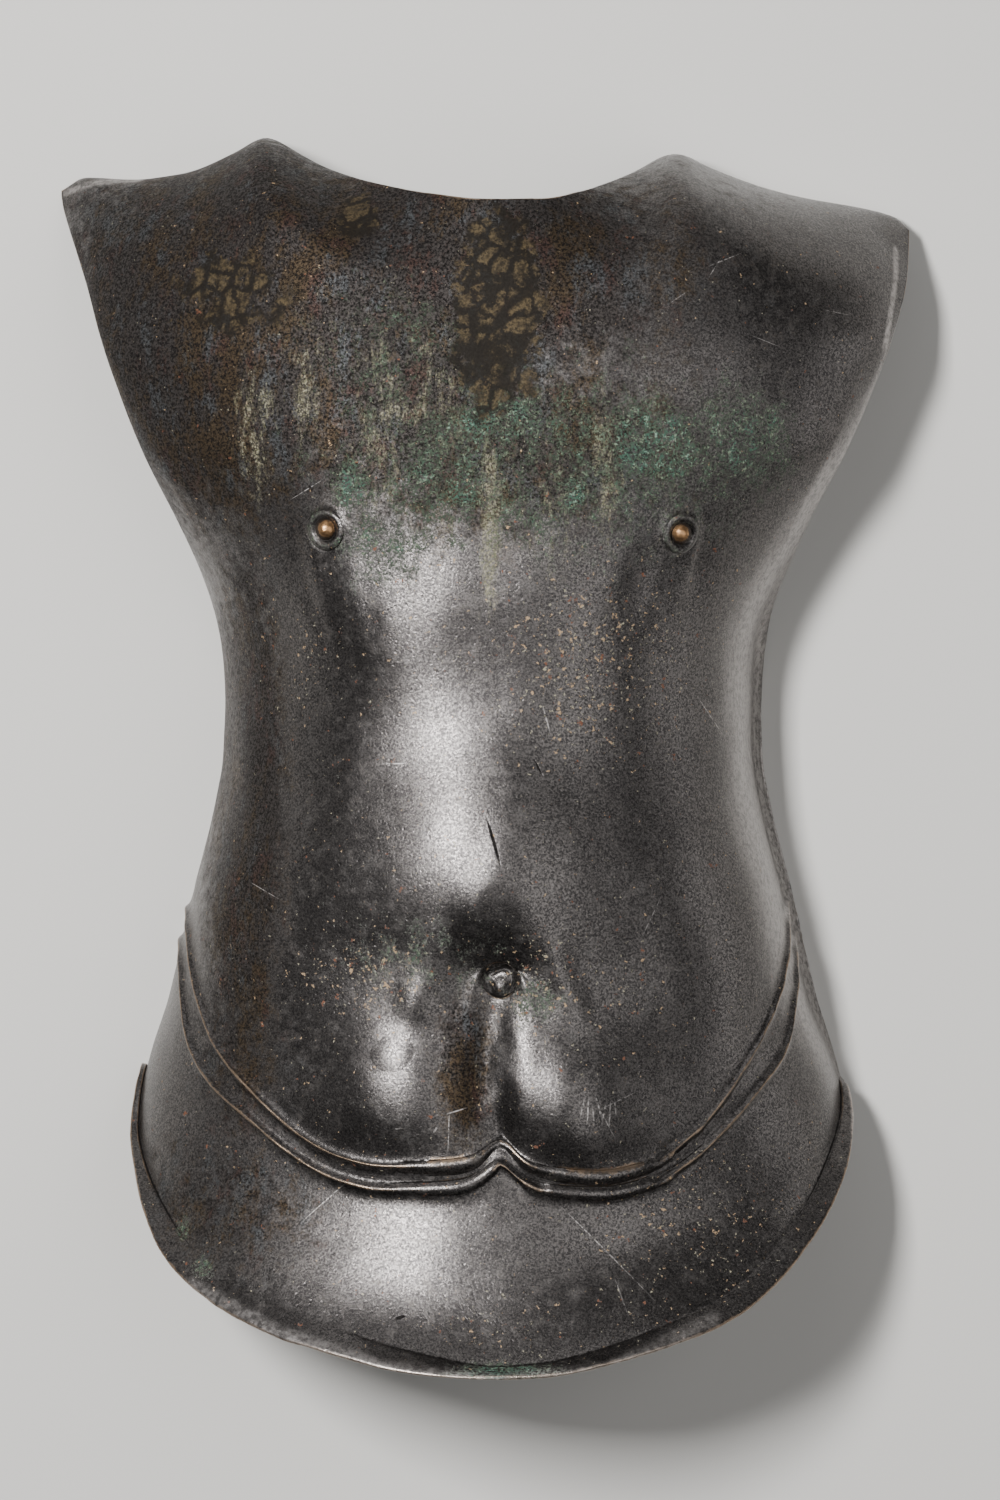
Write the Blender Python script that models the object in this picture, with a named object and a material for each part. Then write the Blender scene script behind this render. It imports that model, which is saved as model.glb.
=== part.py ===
"""Front plate of a bronze muscle cuirass, lying on its rim with the chest up.

Metres, +Z up. X runs across the chest, Y from the hem to the neck, Z from the rim to the chest.
The plate is one sheet: a grid of columns (side to side) and rows (neck to hem) is laid over the
torso form, the muscles are raised on it, and the sheet is thickened inwards. The rows follow the
neckline, the two raised iliac ridges and the hem, so that each is a clean line of the mesh.
"""
import math
from bisect import bisect_right
from typing import Callable, NamedTuple

import bmesh
import bpy
from mathutils import Matrix, Vector

# Driving sizes
HEIGHT = 0.500           # neck peak to the lowest point of the hem
SHOULDER_WIDTH = 0.350   # tip to tip
WAIST_WIDTH = 0.223
HIP_WIDTH = 0.297
CHEST_DEPTH = 0.122      # rim to the front of the chest
BELLY_DEPTH = 0.126      # rim to the front of the belly
HEM_DEPTH = 0.138        # rim to the fold of the hem at the middle
WALL = 0.0016            # sheet thickness
ROLL = 0.048             # height over which the shoulders roll back to the rim

NECK_DEPTH = 0.88        # share of CHEST_DEPTH from the rim to the neckline's lowest point
NECK_BOW = 1.7           # how strongly the sheet curves just under the neckline
NOTCH_ACROSS = 0.511     # share of the width from the left side to the ridges' notch
NOTCH_HALF = 0.030       # half its width, as a share of the width
NOTCH_RISE = 0.020       # share of HEIGHT that both ridges rise there

# Worked details
MUSCLE_RISE = 0.0070     # how far a full muscle stands out of the torso form
MUSCLE_FADE = 0.06       # share of the half width over which the muscles die out at the sides
MUSCLE_TOP = 2.4         # how flat a muscle's top is
FLANGE_WIDTH = 0.0125    # out-turned hem
FLANGE_FOLD = 0.0022     # sharp part of the hem's fold
RIDGE_RISE = 0.0019      # each iliac ridge
RIDGE_HALF = 0.0023      # half its width
CHANNEL_SINK = -0.15     # share of RIDGE_RISE that the channel between them lies lower
LAP_WIDTH = 0.0045       # how far the turned side edge stands out
LAP_DEPTH = 0.0100       # height of the turned side edge above the rim
LAP_REACH = 8            # how closely the turn keeps to the side
NIPPLE_SPACING = 0.138
NIPPLE_SHIFT = 0.0012    # the nipples' middle lies this far to the right
NIPPLE_DOWN = 0.1650     # below the neck peak
NIPPLE_DROP = 0.0015     # the right one lies this much lower
AREOLA_RADIUS = 0.0078
AREOLA_RISE = 0.0011
NAVEL_DOWN = 0.3445      # below the neck peak
NAVEL_RADIUS = 0.0085
NAVEL_SINK = 0.0026
STUD_RADIUS = 0.0048
STUD_RISE = 0.0042
SHANK_RADIUS = 0.0019
TAIL_RADIUS = 0.0034
TAIL_RISE = 0.0014
CLEARANCE = 0.0003
SEAT = 0.0009            # rim points this near the bench are dressed flat on it

# Mesh counts
COLUMNS = 54
ROLL_ROWS = 7
TORSO_ROWS = 22
SKIRT_ROWS = 6
STUD_SIDES = 20
BUNCH = 0.85             # how much closer the columns stand at the sides
EDGE_COLUMN = 0.0008     # share of the width from each side to the extra column there
NIPPLE_COLUMN = 0.20     # share of the columns from the middle to a nipple
NIPPLE_ROW = 7           # torso row through the nipples
NAVEL_ROW = 15           # torso row through the navel
LAST_ROW = 1.985         # stage of the torso row next to the upper ridge
FLANGE_ROW = 0.55        # share of FLANGE_WIDTH to the flange's middle row
ACROSS_STEP = 1e-4       # step for slopes across the sheet
STAGE_STEP = 2e-3        # step for slopes down the sheet


class Section(NamedTuple):
    """The side edges at one height."""

    down: float      # share of HEIGHT below the neck peak
    width: float
    middle: float    # share of SHOULDER_WIDTH that the middle lies to the right
    edge: float      # share of CHEST_DEPTH from the rim to the side edge
    flat: float      # how flat the front is
    steep: float     # how steeply the sides fall
    lap: float       # share of LAP_WIDTH that the right edge is turned out


SECTIONS = [
    Section(0.000, 0.990 * SHOULDER_WIDTH, -0.026, 0.00, 2.2, 1.30, 0.3),
    Section(0.040, 0.992 * SHOULDER_WIDTH, -0.026, 0.00, 2.2, 1.30, 0.3),
    Section(0.062, 0.998 * SHOULDER_WIDTH, -0.017, 0.05, 2.2, 1.30, 0.5),
    Section(0.090, 0.984 * SHOULDER_WIDTH, -0.010, 0.16, 2.2, 1.30, 0.6),
    Section(0.140, 0.948 * SHOULDER_WIDTH, -0.004, 0.35, 2.2, 1.30, 0.4),
    Section(0.190, 0.902 * SHOULDER_WIDTH, -0.005, 0.46, 2.2, 1.30, 0.0),
    Section(0.262, 0.820 * SHOULDER_WIDTH, -0.007, 0.46, 2.1, 1.35, 0.0),
    Section(0.302, 0.763 * SHOULDER_WIDTH, -0.008, 0.37, 2.15, 1.40, 0.0),
    Section(0.342, 0.710 * SHOULDER_WIDTH, -0.008, 0.25, 2.20, 1.55, 0.0),
    Section(0.382, 0.667 * SHOULDER_WIDTH, -0.008, 0.14, 2.20, 1.75, 0.6),
    Section(0.423, 1.010 * WAIST_WIDTH, -0.008, 0.05, 2.15, 1.95, 1.0),
    Section(0.465, 1.000 * WAIST_WIDTH, -0.008, 0.00, 2.10, 2.10, 1.0),
    Section(0.506, 1.003 * WAIST_WIDTH, -0.009, 0.00, 2.05, 2.20, 1.0),
    Section(0.548, 1.032 * WAIST_WIDTH, -0.009, 0.00, 2.0, 2.20, 1.0),
    Section(0.631, 1.124 * WAIST_WIDTH, -0.009, 0.00, 2.0, 2.20, 1.0),
    Section(0.714, 0.909 * HIP_WIDTH, -0.009, 0.00, 2.0, 2.10, 0.9),
    Section(0.756, 0.955 * HIP_WIDTH, -0.009, 0.00, 2.0, 2.00, 0.5),
    Section(0.800, 0.990 * HIP_WIDTH, -0.009, 0.00, 2.0, 2.00, 0.2),
    Section(0.830, 1.000 * HIP_WIDTH, -0.010, 0.00, 2.0, 2.00, 0.1),
    Section(1.000, 1.030 * HIP_WIDTH, -0.010, 0.00, 2.0, 2.00, 0.0),
]


class Edge(NamedTuple):
    """A point of the top edge."""

    across: float    # share of the width from the left side
    down: float      # share of HEIGHT
    depth: float     # share of CHEST_DEPTH


TOP_EDGE = [
    Edge(0.000, 0.041, 0.00),
    Edge(0.030, 0.030, 0.00),
    Edge(0.090, 0.032, 0.00),
    Edge(0.150, 0.027, 0.00),
    Edge(0.205, 0.013, 0.03 * NECK_DEPTH),
    Edge(0.249, 0.000, 0.12 * NECK_DEPTH),
    Edge(0.280, 0.013, 0.28 * NECK_DEPTH),
    Edge(0.320, 0.031, 0.50 * NECK_DEPTH),
    Edge(0.370, 0.048, 0.75 * NECK_DEPTH),
    Edge(0.430, 0.061, 0.92 * NECK_DEPTH),
    Edge(0.500, 0.068, NECK_DEPTH),
    Edge(0.560, 0.067, 0.97 * NECK_DEPTH),
    Edge(0.620, 0.056, 0.80 * NECK_DEPTH),
    Edge(0.670, 0.040, 0.54 * NECK_DEPTH),
    Edge(0.705, 0.024, 0.28 * NECK_DEPTH),
    Edge(0.732, 0.013, 0.12 * NECK_DEPTH),
    Edge(0.780, 0.025, 0.03 * NECK_DEPTH),
    Edge(0.830, 0.037, 0.00),
    Edge(0.890, 0.048, 0.00),
    Edge(0.950, 0.056, 0.00),
    Edge(0.985, 0.064, 0.00),
    Edge(1.000, 0.076, 0.00),
]


class Fold(NamedTuple):
    """A point of the iliac ridges, without their notch."""

    across: float    # share of the width from the left side
    down: float      # share of HEIGHT to the upper ridge
    gap: float       # share of HEIGHT from there to the lower ridge


FOLDS = [
    Fold(0.000, 0.636, 0.026),
    Fold(0.050, 0.700, 0.033),
    Fold(0.105, 0.746, 0.028),
    Fold(0.180, 0.786, 0.021),
    Fold(0.240, 0.812, 0.020),
    Fold(0.300, 0.829, 0.020),
    Fold(0.360, 0.836, 0.020),
    Fold(0.440, 0.836, 0.020),
    Fold(0.511, 0.836, 0.019),
    Fold(0.590, 0.842, 0.017),
    Fold(0.640, 0.844, 0.016),
    Fold(0.715, 0.834, 0.017),
    Fold(0.770, 0.813, 0.020),
    Fold(0.815, 0.787, 0.023),
    Fold(0.870, 0.750, 0.029),
    Fold(0.925, 0.712, 0.034),
    Fold(0.970, 0.670, 0.033),
    Fold(1.000, 0.632, 0.026),
]


class Hem(NamedTuple):
    """A point of the hem's fold, and which way the flange turns there."""

    across: float    # share of the width from the left side
    down: float      # share of HEIGHT
    out: float       # share of FLANGE_WIDTH away from the plate
    front: float     # share of FLANGE_WIDTH towards the front


HEMS = [
    Hem(0.000, 0.768, 0.20, 0.00),
    Hem(0.009, 0.815, 0.30, 0.05),
    Hem(0.034, 0.852, 0.48, 0.15),
    Hem(0.057, 0.873, 0.72, 0.20),
    Hem(0.095, 0.900, 0.95, 0.25),
    Hem(0.150, 0.924, 1.00, 0.35),
    Hem(0.220, 0.944, 0.95, 0.45),
    Hem(0.290, 0.958, 0.85, 0.60),
    Hem(0.355, 0.970, 0.72, 0.72),
    Hem(0.420, 0.980, 0.54, 0.80),
    Hem(0.505, 0.989, 0.26, 0.92),
    Hem(0.570, 0.986, 0.34, 0.88),
    Hem(0.655, 0.973, 0.50, 0.78),
    Hem(0.725, 0.958, 0.66, 0.70),
    Hem(0.795, 0.941, 0.78, 0.50),
    Hem(0.852, 0.917, 0.82, 0.35),
    Hem(0.915, 0.876, 0.82, 0.28),
    Hem(0.955, 0.840, 0.75, 0.20),
    Hem(0.983, 0.807, 0.50, 0.10),
    Hem(1.000, 0.777, 0.25, 0.00),
]


class Crown(NamedTuple):
    """The front of the torso along its middle."""

    stage: float     # 1 under the shoulder roll, 2 upper ridge, 3 lower ridge, 4 hem
    depth: float


CROWNS = [
    Crown(1.00, 0.955 * CHEST_DEPTH),
    Crown(1.12, 0.978 * CHEST_DEPTH),
    Crown(1.31, 0.990 * CHEST_DEPTH),
    Crown(1.42, 0.970 * CHEST_DEPTH),
    Crown(1.52, 0.970 * CHEST_DEPTH),
    Crown(1.62, 0.970 * BELLY_DEPTH),
    Crown(1.70, 0.980 * BELLY_DEPTH),
    Crown(1.80, 0.955 * BELLY_DEPTH),
    Crown(1.90, 0.945 * BELLY_DEPTH),
    Crown(2.00, 0.920 * BELLY_DEPTH),
    Crown(3.00, 0.925 * BELLY_DEPTH),
    Crown(3.35, 0.865 * HEM_DEPTH),
    Crown(3.70, 0.925 * HEM_DEPTH),
    Crown(4.00, 1.000 * HEM_DEPTH),
]


class Swell(NamedTuple):
    """A rounded muscle, or with a negative rise a hollow."""

    aside: float     # share of the local half width, right positive
    down: float      # share of HEIGHT
    wide: float      # share of the local half width
    tall: float      # share of HEIGHT
    rise: float      # share of MUSCLE_RISE


SWELLS = [
    Swell(-0.50, 0.280, 0.46, 0.120, 0.55),    # left breast
    Swell(0.54, 0.280, 0.46, 0.120, 0.55),     # right breast
    Swell(-0.02, 0.580, 0.36, 0.088, 0.98),    # stomach
    Swell(-0.33, 0.425, 0.27, 0.062, 0.42),    # left ribs
    Swell(0.34, 0.430, 0.27, 0.062, 0.30),     # right ribs
    Swell(-0.26, 0.783, 0.20, 0.068, 1.10),    # left lower belly
    Swell(0.22, 0.785, 0.22, 0.068, 1.10),     # right lower belly
    Swell(-0.70, 0.655, 0.22, 0.085, 0.40),    # left flank
    Swell(0.72, 0.655, 0.22, 0.085, 0.40),     # right flank
    Swell(0.00, 0.676, 0.16, 0.026, -0.60),    # hollow under the navel's hood
    Swell(-0.12, 0.745, 0.09, 0.060, -0.35),   # hollow left of the belly's groove
]


class Stroke(NamedTuple):
    """A long muscle edge or groove, through points (aside, down) shared as in Swell."""

    points: tuple
    width: float     # share of HEIGHT
    rise: float      # share of MUSCLE_RISE


NAVEL_HOOD = ((-0.23, 0.700), (-0.15, 0.660), (0.00, 0.642), (0.14, 0.660), (0.23, 0.700))
STROKES = [
    Stroke(((-0.02, 0.180), (0.00, 0.350)), 0.040, -0.08),                     # breastbone
    Stroke(((-0.62, 0.348), (-0.45, 0.360), (-0.22, 0.356)), 0.022, -0.16),    # under the left breast
    Stroke(((0.64, 0.358), (0.48, 0.372), (0.24, 0.366)), 0.020, -0.14),       # under the right breast
    Stroke(((-0.80, 0.430), (-0.74, 0.520), (-0.66, 0.610)), 0.034, -0.12),    # left flank
    Stroke(((0.80, 0.430), (0.74, 0.520), (0.68, 0.610)), 0.034, -0.08),       # right flank
    Stroke(NAVEL_HOOD, 0.011, 0.35),
    Stroke(((0.00, 0.715), (-0.01, 0.760), (0.01, 0.812)), 0.0095, -0.95),     # belly groove
]


class Ring(NamedTuple):
    """A ring worked in the sheet around a point."""

    radius: float    # share of the outer radius
    rise: float      # share of the ring's full rise


AREOLA_RINGS = [Ring(1.25, 0.0), Ring(1.00, 0.2), Ring(0.80, 1.0), Ring(0.58, 0.3), Ring(0.32, 0.0)]
NAVEL_RINGS = [Ring(1.15, 0.0), Ring(0.90, -0.35), Ring(0.62, -1.0), Ring(0.36, -0.8)]


def smooth_curve(table: list, column: int) -> Callable[[float], float]:
    """A curve without overshoot through one column of a table, read against its first column."""
    xs = [row[0] for row in table]
    ys = [row[column] for row in table]
    steps = [b - a for a, b in zip(xs, xs[1:])]
    slopes = [(b - a) / h for a, b, h in zip(ys, ys[1:], steps)]
    tangents = [slopes[0]]
    for before, after in zip(slopes, slopes[1:]):
        mean = 2 * before * after / (before + after) if before * after > 0 else 0.0
        tangents.append(mean)
    tangents.append(slopes[-1])

    def value(x: float) -> float:
        if x <= xs[0]:
            return ys[0]
        if x >= xs[-1]:
            return ys[-1]
        i = bisect_right(xs, x) - 1
        t = (x - xs[i]) / steps[i]
        rest = 1 - t
        ends = ys[i] * rest * rest * (1 + 2 * t) + ys[i + 1] * t * t * (1 + 2 * rest)
        return ends + steps[i] * t * rest * (tangents[i] * rest - tangents[i + 1] * t)

    return value


width_at = smooth_curve(SECTIONS, 1)
middle_at = smooth_curve(SECTIONS, 2)
edge_at = smooth_curve(SECTIONS, 3)
flat_at = smooth_curve(SECTIONS, 4)
steep_at = smooth_curve(SECTIONS, 5)
lap_at = smooth_curve(SECTIONS, 6)
top_line = smooth_curve(TOP_EDGE, 1)
top_depth = smooth_curve(TOP_EDGE, 2)
ridge_line = smooth_curve(FOLDS, 1)
ridge_gap = smooth_curve(FOLDS, 2)
hem_line = smooth_curve(HEMS, 1)
flange_out = smooth_curve(HEMS, 2)
flange_front = smooth_curve(HEMS, 3)
crown_at = smooth_curve(CROWNS, 1)


def down_at(across: float, stage: float, notch: float = 0.0) -> float:
    """How far below the neck peak a grid point lies, as a share of HEIGHT."""
    under_roll = top_line(across) + ROLL / HEIGHT
    upper = ridge_line(across) - notch
    lower = upper + ridge_gap(across)
    if stage <= 1:
        return top_line(across) + ROLL / HEIGHT * (1 - math.cos(stage * math.pi / 2))
    if stage <= 2:
        return under_roll + (upper - under_roll) * (stage - 1)
    if stage <= 3:
        return upper + (lower - upper) * (stage - 2)
    return lower + (hem_line(across) - lower) * (stage - 3)


def notch_at(across: float) -> float:
    """How far the ridges rise in their notch, as a share of HEIGHT."""
    far = (across - NOTCH_ACROSS) / NOTCH_HALF
    return NOTCH_RISE / (1 + far * far) ** 1.5


def plain_stage(across: float, down: float) -> float:
    """The stage that this height has where the ridges have no notch."""
    stages = (1, 2, 3, 4)
    downs = [down_at(across, stage) for stage in stages]
    for stage, above, below in zip(stages, downs, downs[1:]):
        if down <= below:
            return stage + (down - above) / (below - above)
    return 4.0


def form(across: float, stage: float, offset: float = 0.0) -> Vector:
    """A point of the plain torso form, moved down the front by the offset."""
    down = down_at(across, stage, notch_at(across)) + offset / HEIGHT
    aside = 2 * across - 1
    width = width_at(down)
    x = middle_at(down) * SHOULDER_WIDTH + aside * width / 2
    front = crown_at(max(plain_stage(across, down), 1.0))
    if stage < 1:
        back = top_depth(across) * CHEST_DEPTH
        left = math.cos(stage * math.pi / 2)
        gentle = min(1.0, top_depth(across) / NECK_DEPTH)
        rise = math.sin(stage * math.pi / 2) * (1 - gentle) + (1 - left**NECK_BOW) * gentle
        front = back + (front - back) * rise
    edge = edge_at(down) * CHEST_DEPTH
    bow = max(0.0, 1 - abs(aside) ** flat_at(down)) ** (1 / steep_at(down))
    z = edge + (front - edge) * bow
    if aside > 0:
        turned = min(1.0, (z - edge) / LAP_DEPTH)
        x -= lap_at(down) * LAP_WIDTH * max(0.0, turned) * aside**LAP_REACH
    return Vector((x, (0.5 - down) * HEIGHT, max(0.0, z)))


def outward(across: float, stage: float) -> Vector:
    """The unit normal of the plain torso form."""
    left, right = max(0.0, across - ACROSS_STEP), min(1.0, across + ACROSS_STEP)
    above, below = max(0.0, stage - STAGE_STEP), min(4.0, stage + STAGE_STEP)
    along = form(right, stage) - form(left, stage)
    up = form(across, above) - form(across, below)
    return along.cross(up).normalized()


def distance_to_stroke(place: Vector, points: list) -> float:
    """How far a place on the front lies from a line through the points."""
    best = math.inf
    for start, end in zip(points, points[1:]):
        run = end - start
        share = max(0.0, min(1.0, (place - start).dot(run) / run.length_squared))
        best = min(best, (place - start - run * share).length)
    return best


def muscles(across: float, down: float) -> float:
    """How far the muscles raise the sheet here."""
    aside = 2 * across - 1
    half = width_at(down) / 2
    rise = 0.0
    for swell in SWELLS:
        far = math.hypot((aside - swell.aside) / swell.wide, (down - swell.down) / swell.tall)
        rise += swell.rise * math.exp(-(far**MUSCLE_TOP))
    place = Vector((aside * half, down * HEIGHT))
    for stroke in STROKES:
        points = [Vector((a * half, d * HEIGHT)) for a, d in stroke.points]
        far = distance_to_stroke(place, points) / (stroke.width * HEIGHT)
        rise += stroke.rise * math.exp(-far * far)
    fade = min(1.0, (1 - abs(aside)) / MUSCLE_FADE)
    return rise * MUSCLE_RISE * fade


def across_at(u: float) -> float:
    """Column position from an even one: closer at the sides."""
    return (1 - BUNCH) * u + BUNCH * (1 - math.cos(math.pi * u)) / 2


def even_at(across: float) -> float:
    """The even column position that across_at turns into this one."""
    low, high = 0.0, 1.0
    for _ in range(40):
        half = (low + high) / 2
        low, high = (half, high) if across_at(half) < across else (low, half)
    return (low + high) / 2


def across_of(x: float, down: float) -> float:
    """The share of the width at which a place on the front lies."""
    left = middle_at(down) * SHOULDER_WIDTH - width_at(down) / 2
    return (x - left) / width_at(down)


class Spot(NamedTuple):
    """A ringed place on the plate, with the column and row that cross there."""

    across: float
    down: float
    column: int
    row: int


def stage_of(across: float, down: float) -> float:
    """The stage between the shoulder roll and the upper ridge at this height."""
    under_roll = top_line(across) + ROLL / HEIGHT
    upper = ridge_line(across) - notch_at(across)
    return 1 + (down - under_roll) / (upper - under_roll)


def nipple_spot(side: int) -> Spot:
    """The left (-1) or right (1) nipple."""
    down = (NIPPLE_DOWN + (NIPPLE_DROP if side > 0 else 0.0)) / HEIGHT
    across = across_of(NIPPLE_SHIFT + side * NIPPLE_SPACING / 2, down)
    column = round(COLUMNS * (0.5 + NIPPLE_COLUMN * side)) + 1
    return Spot(across, down, column, ROLL_ROWS + NIPPLE_ROW)


def navel_spot() -> Spot:
    """The navel."""
    down = NAVEL_DOWN / HEIGHT
    return Spot(across_of(0.0, down), down, COLUMNS // 2 + 1, ROLL_ROWS + NAVEL_ROW)


def column_places() -> list:
    """The columns' shares of the width. One passes through each nipple and one through the navel."""
    spots = [nipple_spot(-1), navel_spot(), nipple_spot(1)]
    anchors = [(0.0, 0.0)]
    anchors += [((spot.column - 1) / COLUMNS, even_at(spot.across)) for spot in spots]
    anchors.append((1.0, 1.0))
    warp = smooth_curve(anchors, 1)
    places = [across_at(warp(i / COLUMNS)) for i in range(COLUMNS + 1)]
    return [0.0, EDGE_COLUMN, *places[1:-1], 1 - EDGE_COLUMN, 1.0]


class Row(NamedTuple):
    """A row of the grid."""

    stage: float     # at the left nipple's column
    end: float       # at the right nipple's column
    offset: float    # metres further down the front
    crest: float     # share of RIDGE_RISE


def level(stage: float, offset: float = 0.0, crest: float = 0.0) -> Row:
    """A row that keeps to one stage."""
    return Row(stage, stage, offset, crest)


def stage_in(row: Row, across: float) -> float:
    """The row's stage at this share of the width."""
    left, right = nipple_spot(-1).across, nipple_spot(1).across
    share = max(0.0, min(1.0, (across - left) / (right - left)))
    return row.stage + (row.end - row.stage) * share


def torso_curve(side: int) -> Callable[[float], float]:
    """The torso rows' stages in the column of the left (-1) or right (1) nipple."""
    nipple, navel = nipple_spot(side), navel_spot()
    anchors = [
        (0.0, 1.0),
        (float(NIPPLE_ROW), stage_of(nipple.across, nipple.down)),
        (float(NAVEL_ROW), stage_of(navel.across, navel.down)),
        (float(TORSO_ROWS), LAST_ROW),
    ]
    return smooth_curve(anchors, 1)


def rows() -> list:
    """The rows from the top edge to the fold of the hem."""
    left, right = torso_curve(-1), torso_curve(1)
    found = [level(i / ROLL_ROWS) for i in range(ROLL_ROWS)]
    found += [Row(left(i), right(i), 0.0, 0.0) for i in range(TORSO_ROWS)]
    for stage in (2.0, 3.0):
        found.append(level(stage, -RIDGE_HALF))
        found.append(level(stage, crest=1.0))
        found.append(level(stage, RIDGE_HALF))
        if stage == 2.0:
            found.append(level(2.5, crest=CHANNEL_SINK))
    found += [level(3 + (i + 1) / SKIRT_ROWS) for i in range(SKIRT_ROWS)]
    return found


def sheet_point(across: float, row: Row) -> Vector:
    """A point of the worked sheet's outer face."""
    stage = stage_in(row, across)
    place = form(across, stage, row.offset)
    down = 0.5 - place.y / HEIGHT
    rise = muscles(across, down) + row.crest * RIDGE_RISE
    lifted = place + outward(across, stage) * rise
    if across in (0.0, 1.0):
        lifted = place
    lifted.z = max(lifted.z, 0.0)
    return lifted


def flange_point(across: float, share: float) -> Vector:
    """A point of the hem's flange, at a share of its width from the fold."""
    fold = sheet_point(across, level(4.0))
    left, right = max(0.0, across - 10 * ACROSS_STEP), min(1.0, across + 10 * ACROSS_STEP)
    run = form(right, 4.0) - form(left, 4.0)
    out = Vector((run.y, -run.x, 0.0)).normalized()
    turn = out * flange_out(across) + Vector((0, 0, flange_front(across)))
    place = fold + turn * FLANGE_WIDTH * share
    return Vector((place.x, place.y, max(0.0, place.z if across not in (0.0, 1.0) else 0.0)))


def ring_around(bm: bmesh.types.BMesh, centre: bmesh.types.BMVert, rings: list, radius: float,
                rise: float, closed: bool) -> tuple:
    """Replaces a crossing of the grid by rings. Returns its place and its outward direction."""
    hub = centre.co.copy()
    around = list({v for face in centre.link_faces for v in face.verts} - {centre})
    normal = Vector((0, 0, 0))
    for face in centre.link_faces:
        face.normal_update()
        normal += face.normal
    normal.normalize()
    east = (Vector((1, 0, 0)) - normal * normal.x).normalized()
    north = normal.cross(east)
    around.sort(key=lambda v: math.atan2((v.co - hub).dot(north), (v.co - hub).dot(east)))
    sides = len(around)
    reaches = [vert.co - hub for vert in around]
    start = min(range(sides), key=lambda i: abs(reaches[i].dot(north)) - reaches[i].dot(east))
    around = around[start:] + around[:start]
    bends = []
    for vert in around:
        reach = vert.co - hub
        flat = reach - normal * reach.dot(normal)
        bends.append(reach.dot(normal) / flat.length_squared)
    bmesh.ops.delete(bm, geom=[centre], context="VERTS")

    def place(i: int, ring: Ring) -> Vector:
        angle = 2 * math.pi * i / sides
        far = ring.radius * radius
        spoke = east * math.cos(angle) + north * math.sin(angle)
        return hub + spoke * far + normal * (bends[i] * far * far + ring.rise * rise)

    for i, vert in enumerate(around):
        vert.co = place(i, rings[0])
    inner = around
    for ring in rings[1:]:
        new = [bm.verts.new(place(i, ring)) for i in range(sides)]
        for i in range(sides):
            after = (i + 1) % sides
            bm.faces.new((inner[i], inner[after], new[after], new[i]))
        inner = new
    if closed:
        tip = bm.verts.new(hub + normal * rings[-1].rise * rise)
        for i in range(0, sides, 2):
            bm.faces.new((inner[i], inner[(i + 1) % sides], inner[(i + 2) % sides], tip))
    return hub, normal


def bronze(name: str, colour: tuple, roughness: float) -> bpy.types.Material:
    """A bronze of one colour, with a Principled BSDF."""
    material = bpy.data.materials.new(name)
    material.use_nodes = True
    shader = material.node_tree.nodes["Principled BSDF"]
    shader.inputs["Base Color"].default_value = (*colour, 1.0)
    shader.inputs["Roughness"].default_value = roughness
    shader.inputs["Metallic"].default_value = 1.0
    return material


def add_object(name: str, bm: bmesh.types.BMesh, material: bpy.types.Material) -> bpy.types.Object:
    """A named object from the mesh, shaded smooth except at its sharp edges."""
    mesh = bpy.data.meshes.new(name)
    bm.to_mesh(mesh)
    bm.free()
    mesh.materials.append(material)
    mesh.shade_smooth()
    mesh.set_sharp_from_angle(angle=math.radians(40))
    obj = bpy.data.objects.new(name, mesh)
    bpy.context.collection.objects.link(obj)
    return obj


def thicken(bm: bmesh.types.BMesh) -> None:
    """Gives the sheet its wall, inwards, and dresses its rim flat on the bench."""
    bm.normal_update()
    sheet = set(bm.verts)
    edge = {vert for vert in bm.verts if vert.is_boundary}
    bmesh.ops.solidify(bm, geom=bm.faces[:], thickness=WALL)
    for outer in edge:
        if outer.co.z < SEAT:
            outer.co.z = 0.0
            for link in outer.link_edges:
                inner = link.other_vert(outer)
                if inner not in sheet:
                    inner.co.z = 0.0
    for vert in bm.verts:
        vert.co.z = max(vert.co.z, 0.0)
    bmesh.ops.recalc_face_normals(bm, faces=bm.faces[:])
    if bm.calc_volume(signed=True) < 0:
        bmesh.ops.reverse_faces(bm, faces=bm.faces[:])


def breastplate(material: bpy.types.Material) -> tuple:
    """The torso plate. Returns it with the place and direction of each nipple's hole."""
    bm = bmesh.new()
    places = column_places()
    grid = [[bm.verts.new(sheet_point(across, row)) for across in places] for row in rows()]
    for share in (FLANGE_FOLD / FLANGE_WIDTH, FLANGE_ROW, 1.0):
        grid.append([bm.verts.new(flange_point(across, share)) for across in places])
    for upper, lower in zip(grid, grid[1:]):
        for i in range(len(places) - 1):
            bm.faces.new((upper[i], lower[i], lower[i + 1], upper[i + 1]))
    seats = []
    for side in (-1, 1):
        spot = nipple_spot(side)
        seats.append(ring_around(bm, grid[spot.row][spot.column], AREOLA_RINGS, AREOLA_RADIUS,
                                 AREOLA_RISE, closed=False))
    spot = navel_spot()
    ring_around(bm, grid[spot.row][spot.column], NAVEL_RINGS, NAVEL_RADIUS, NAVEL_SINK, closed=True)
    thicken(bm)
    return add_object("breastplate", bm, material), seats


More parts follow.
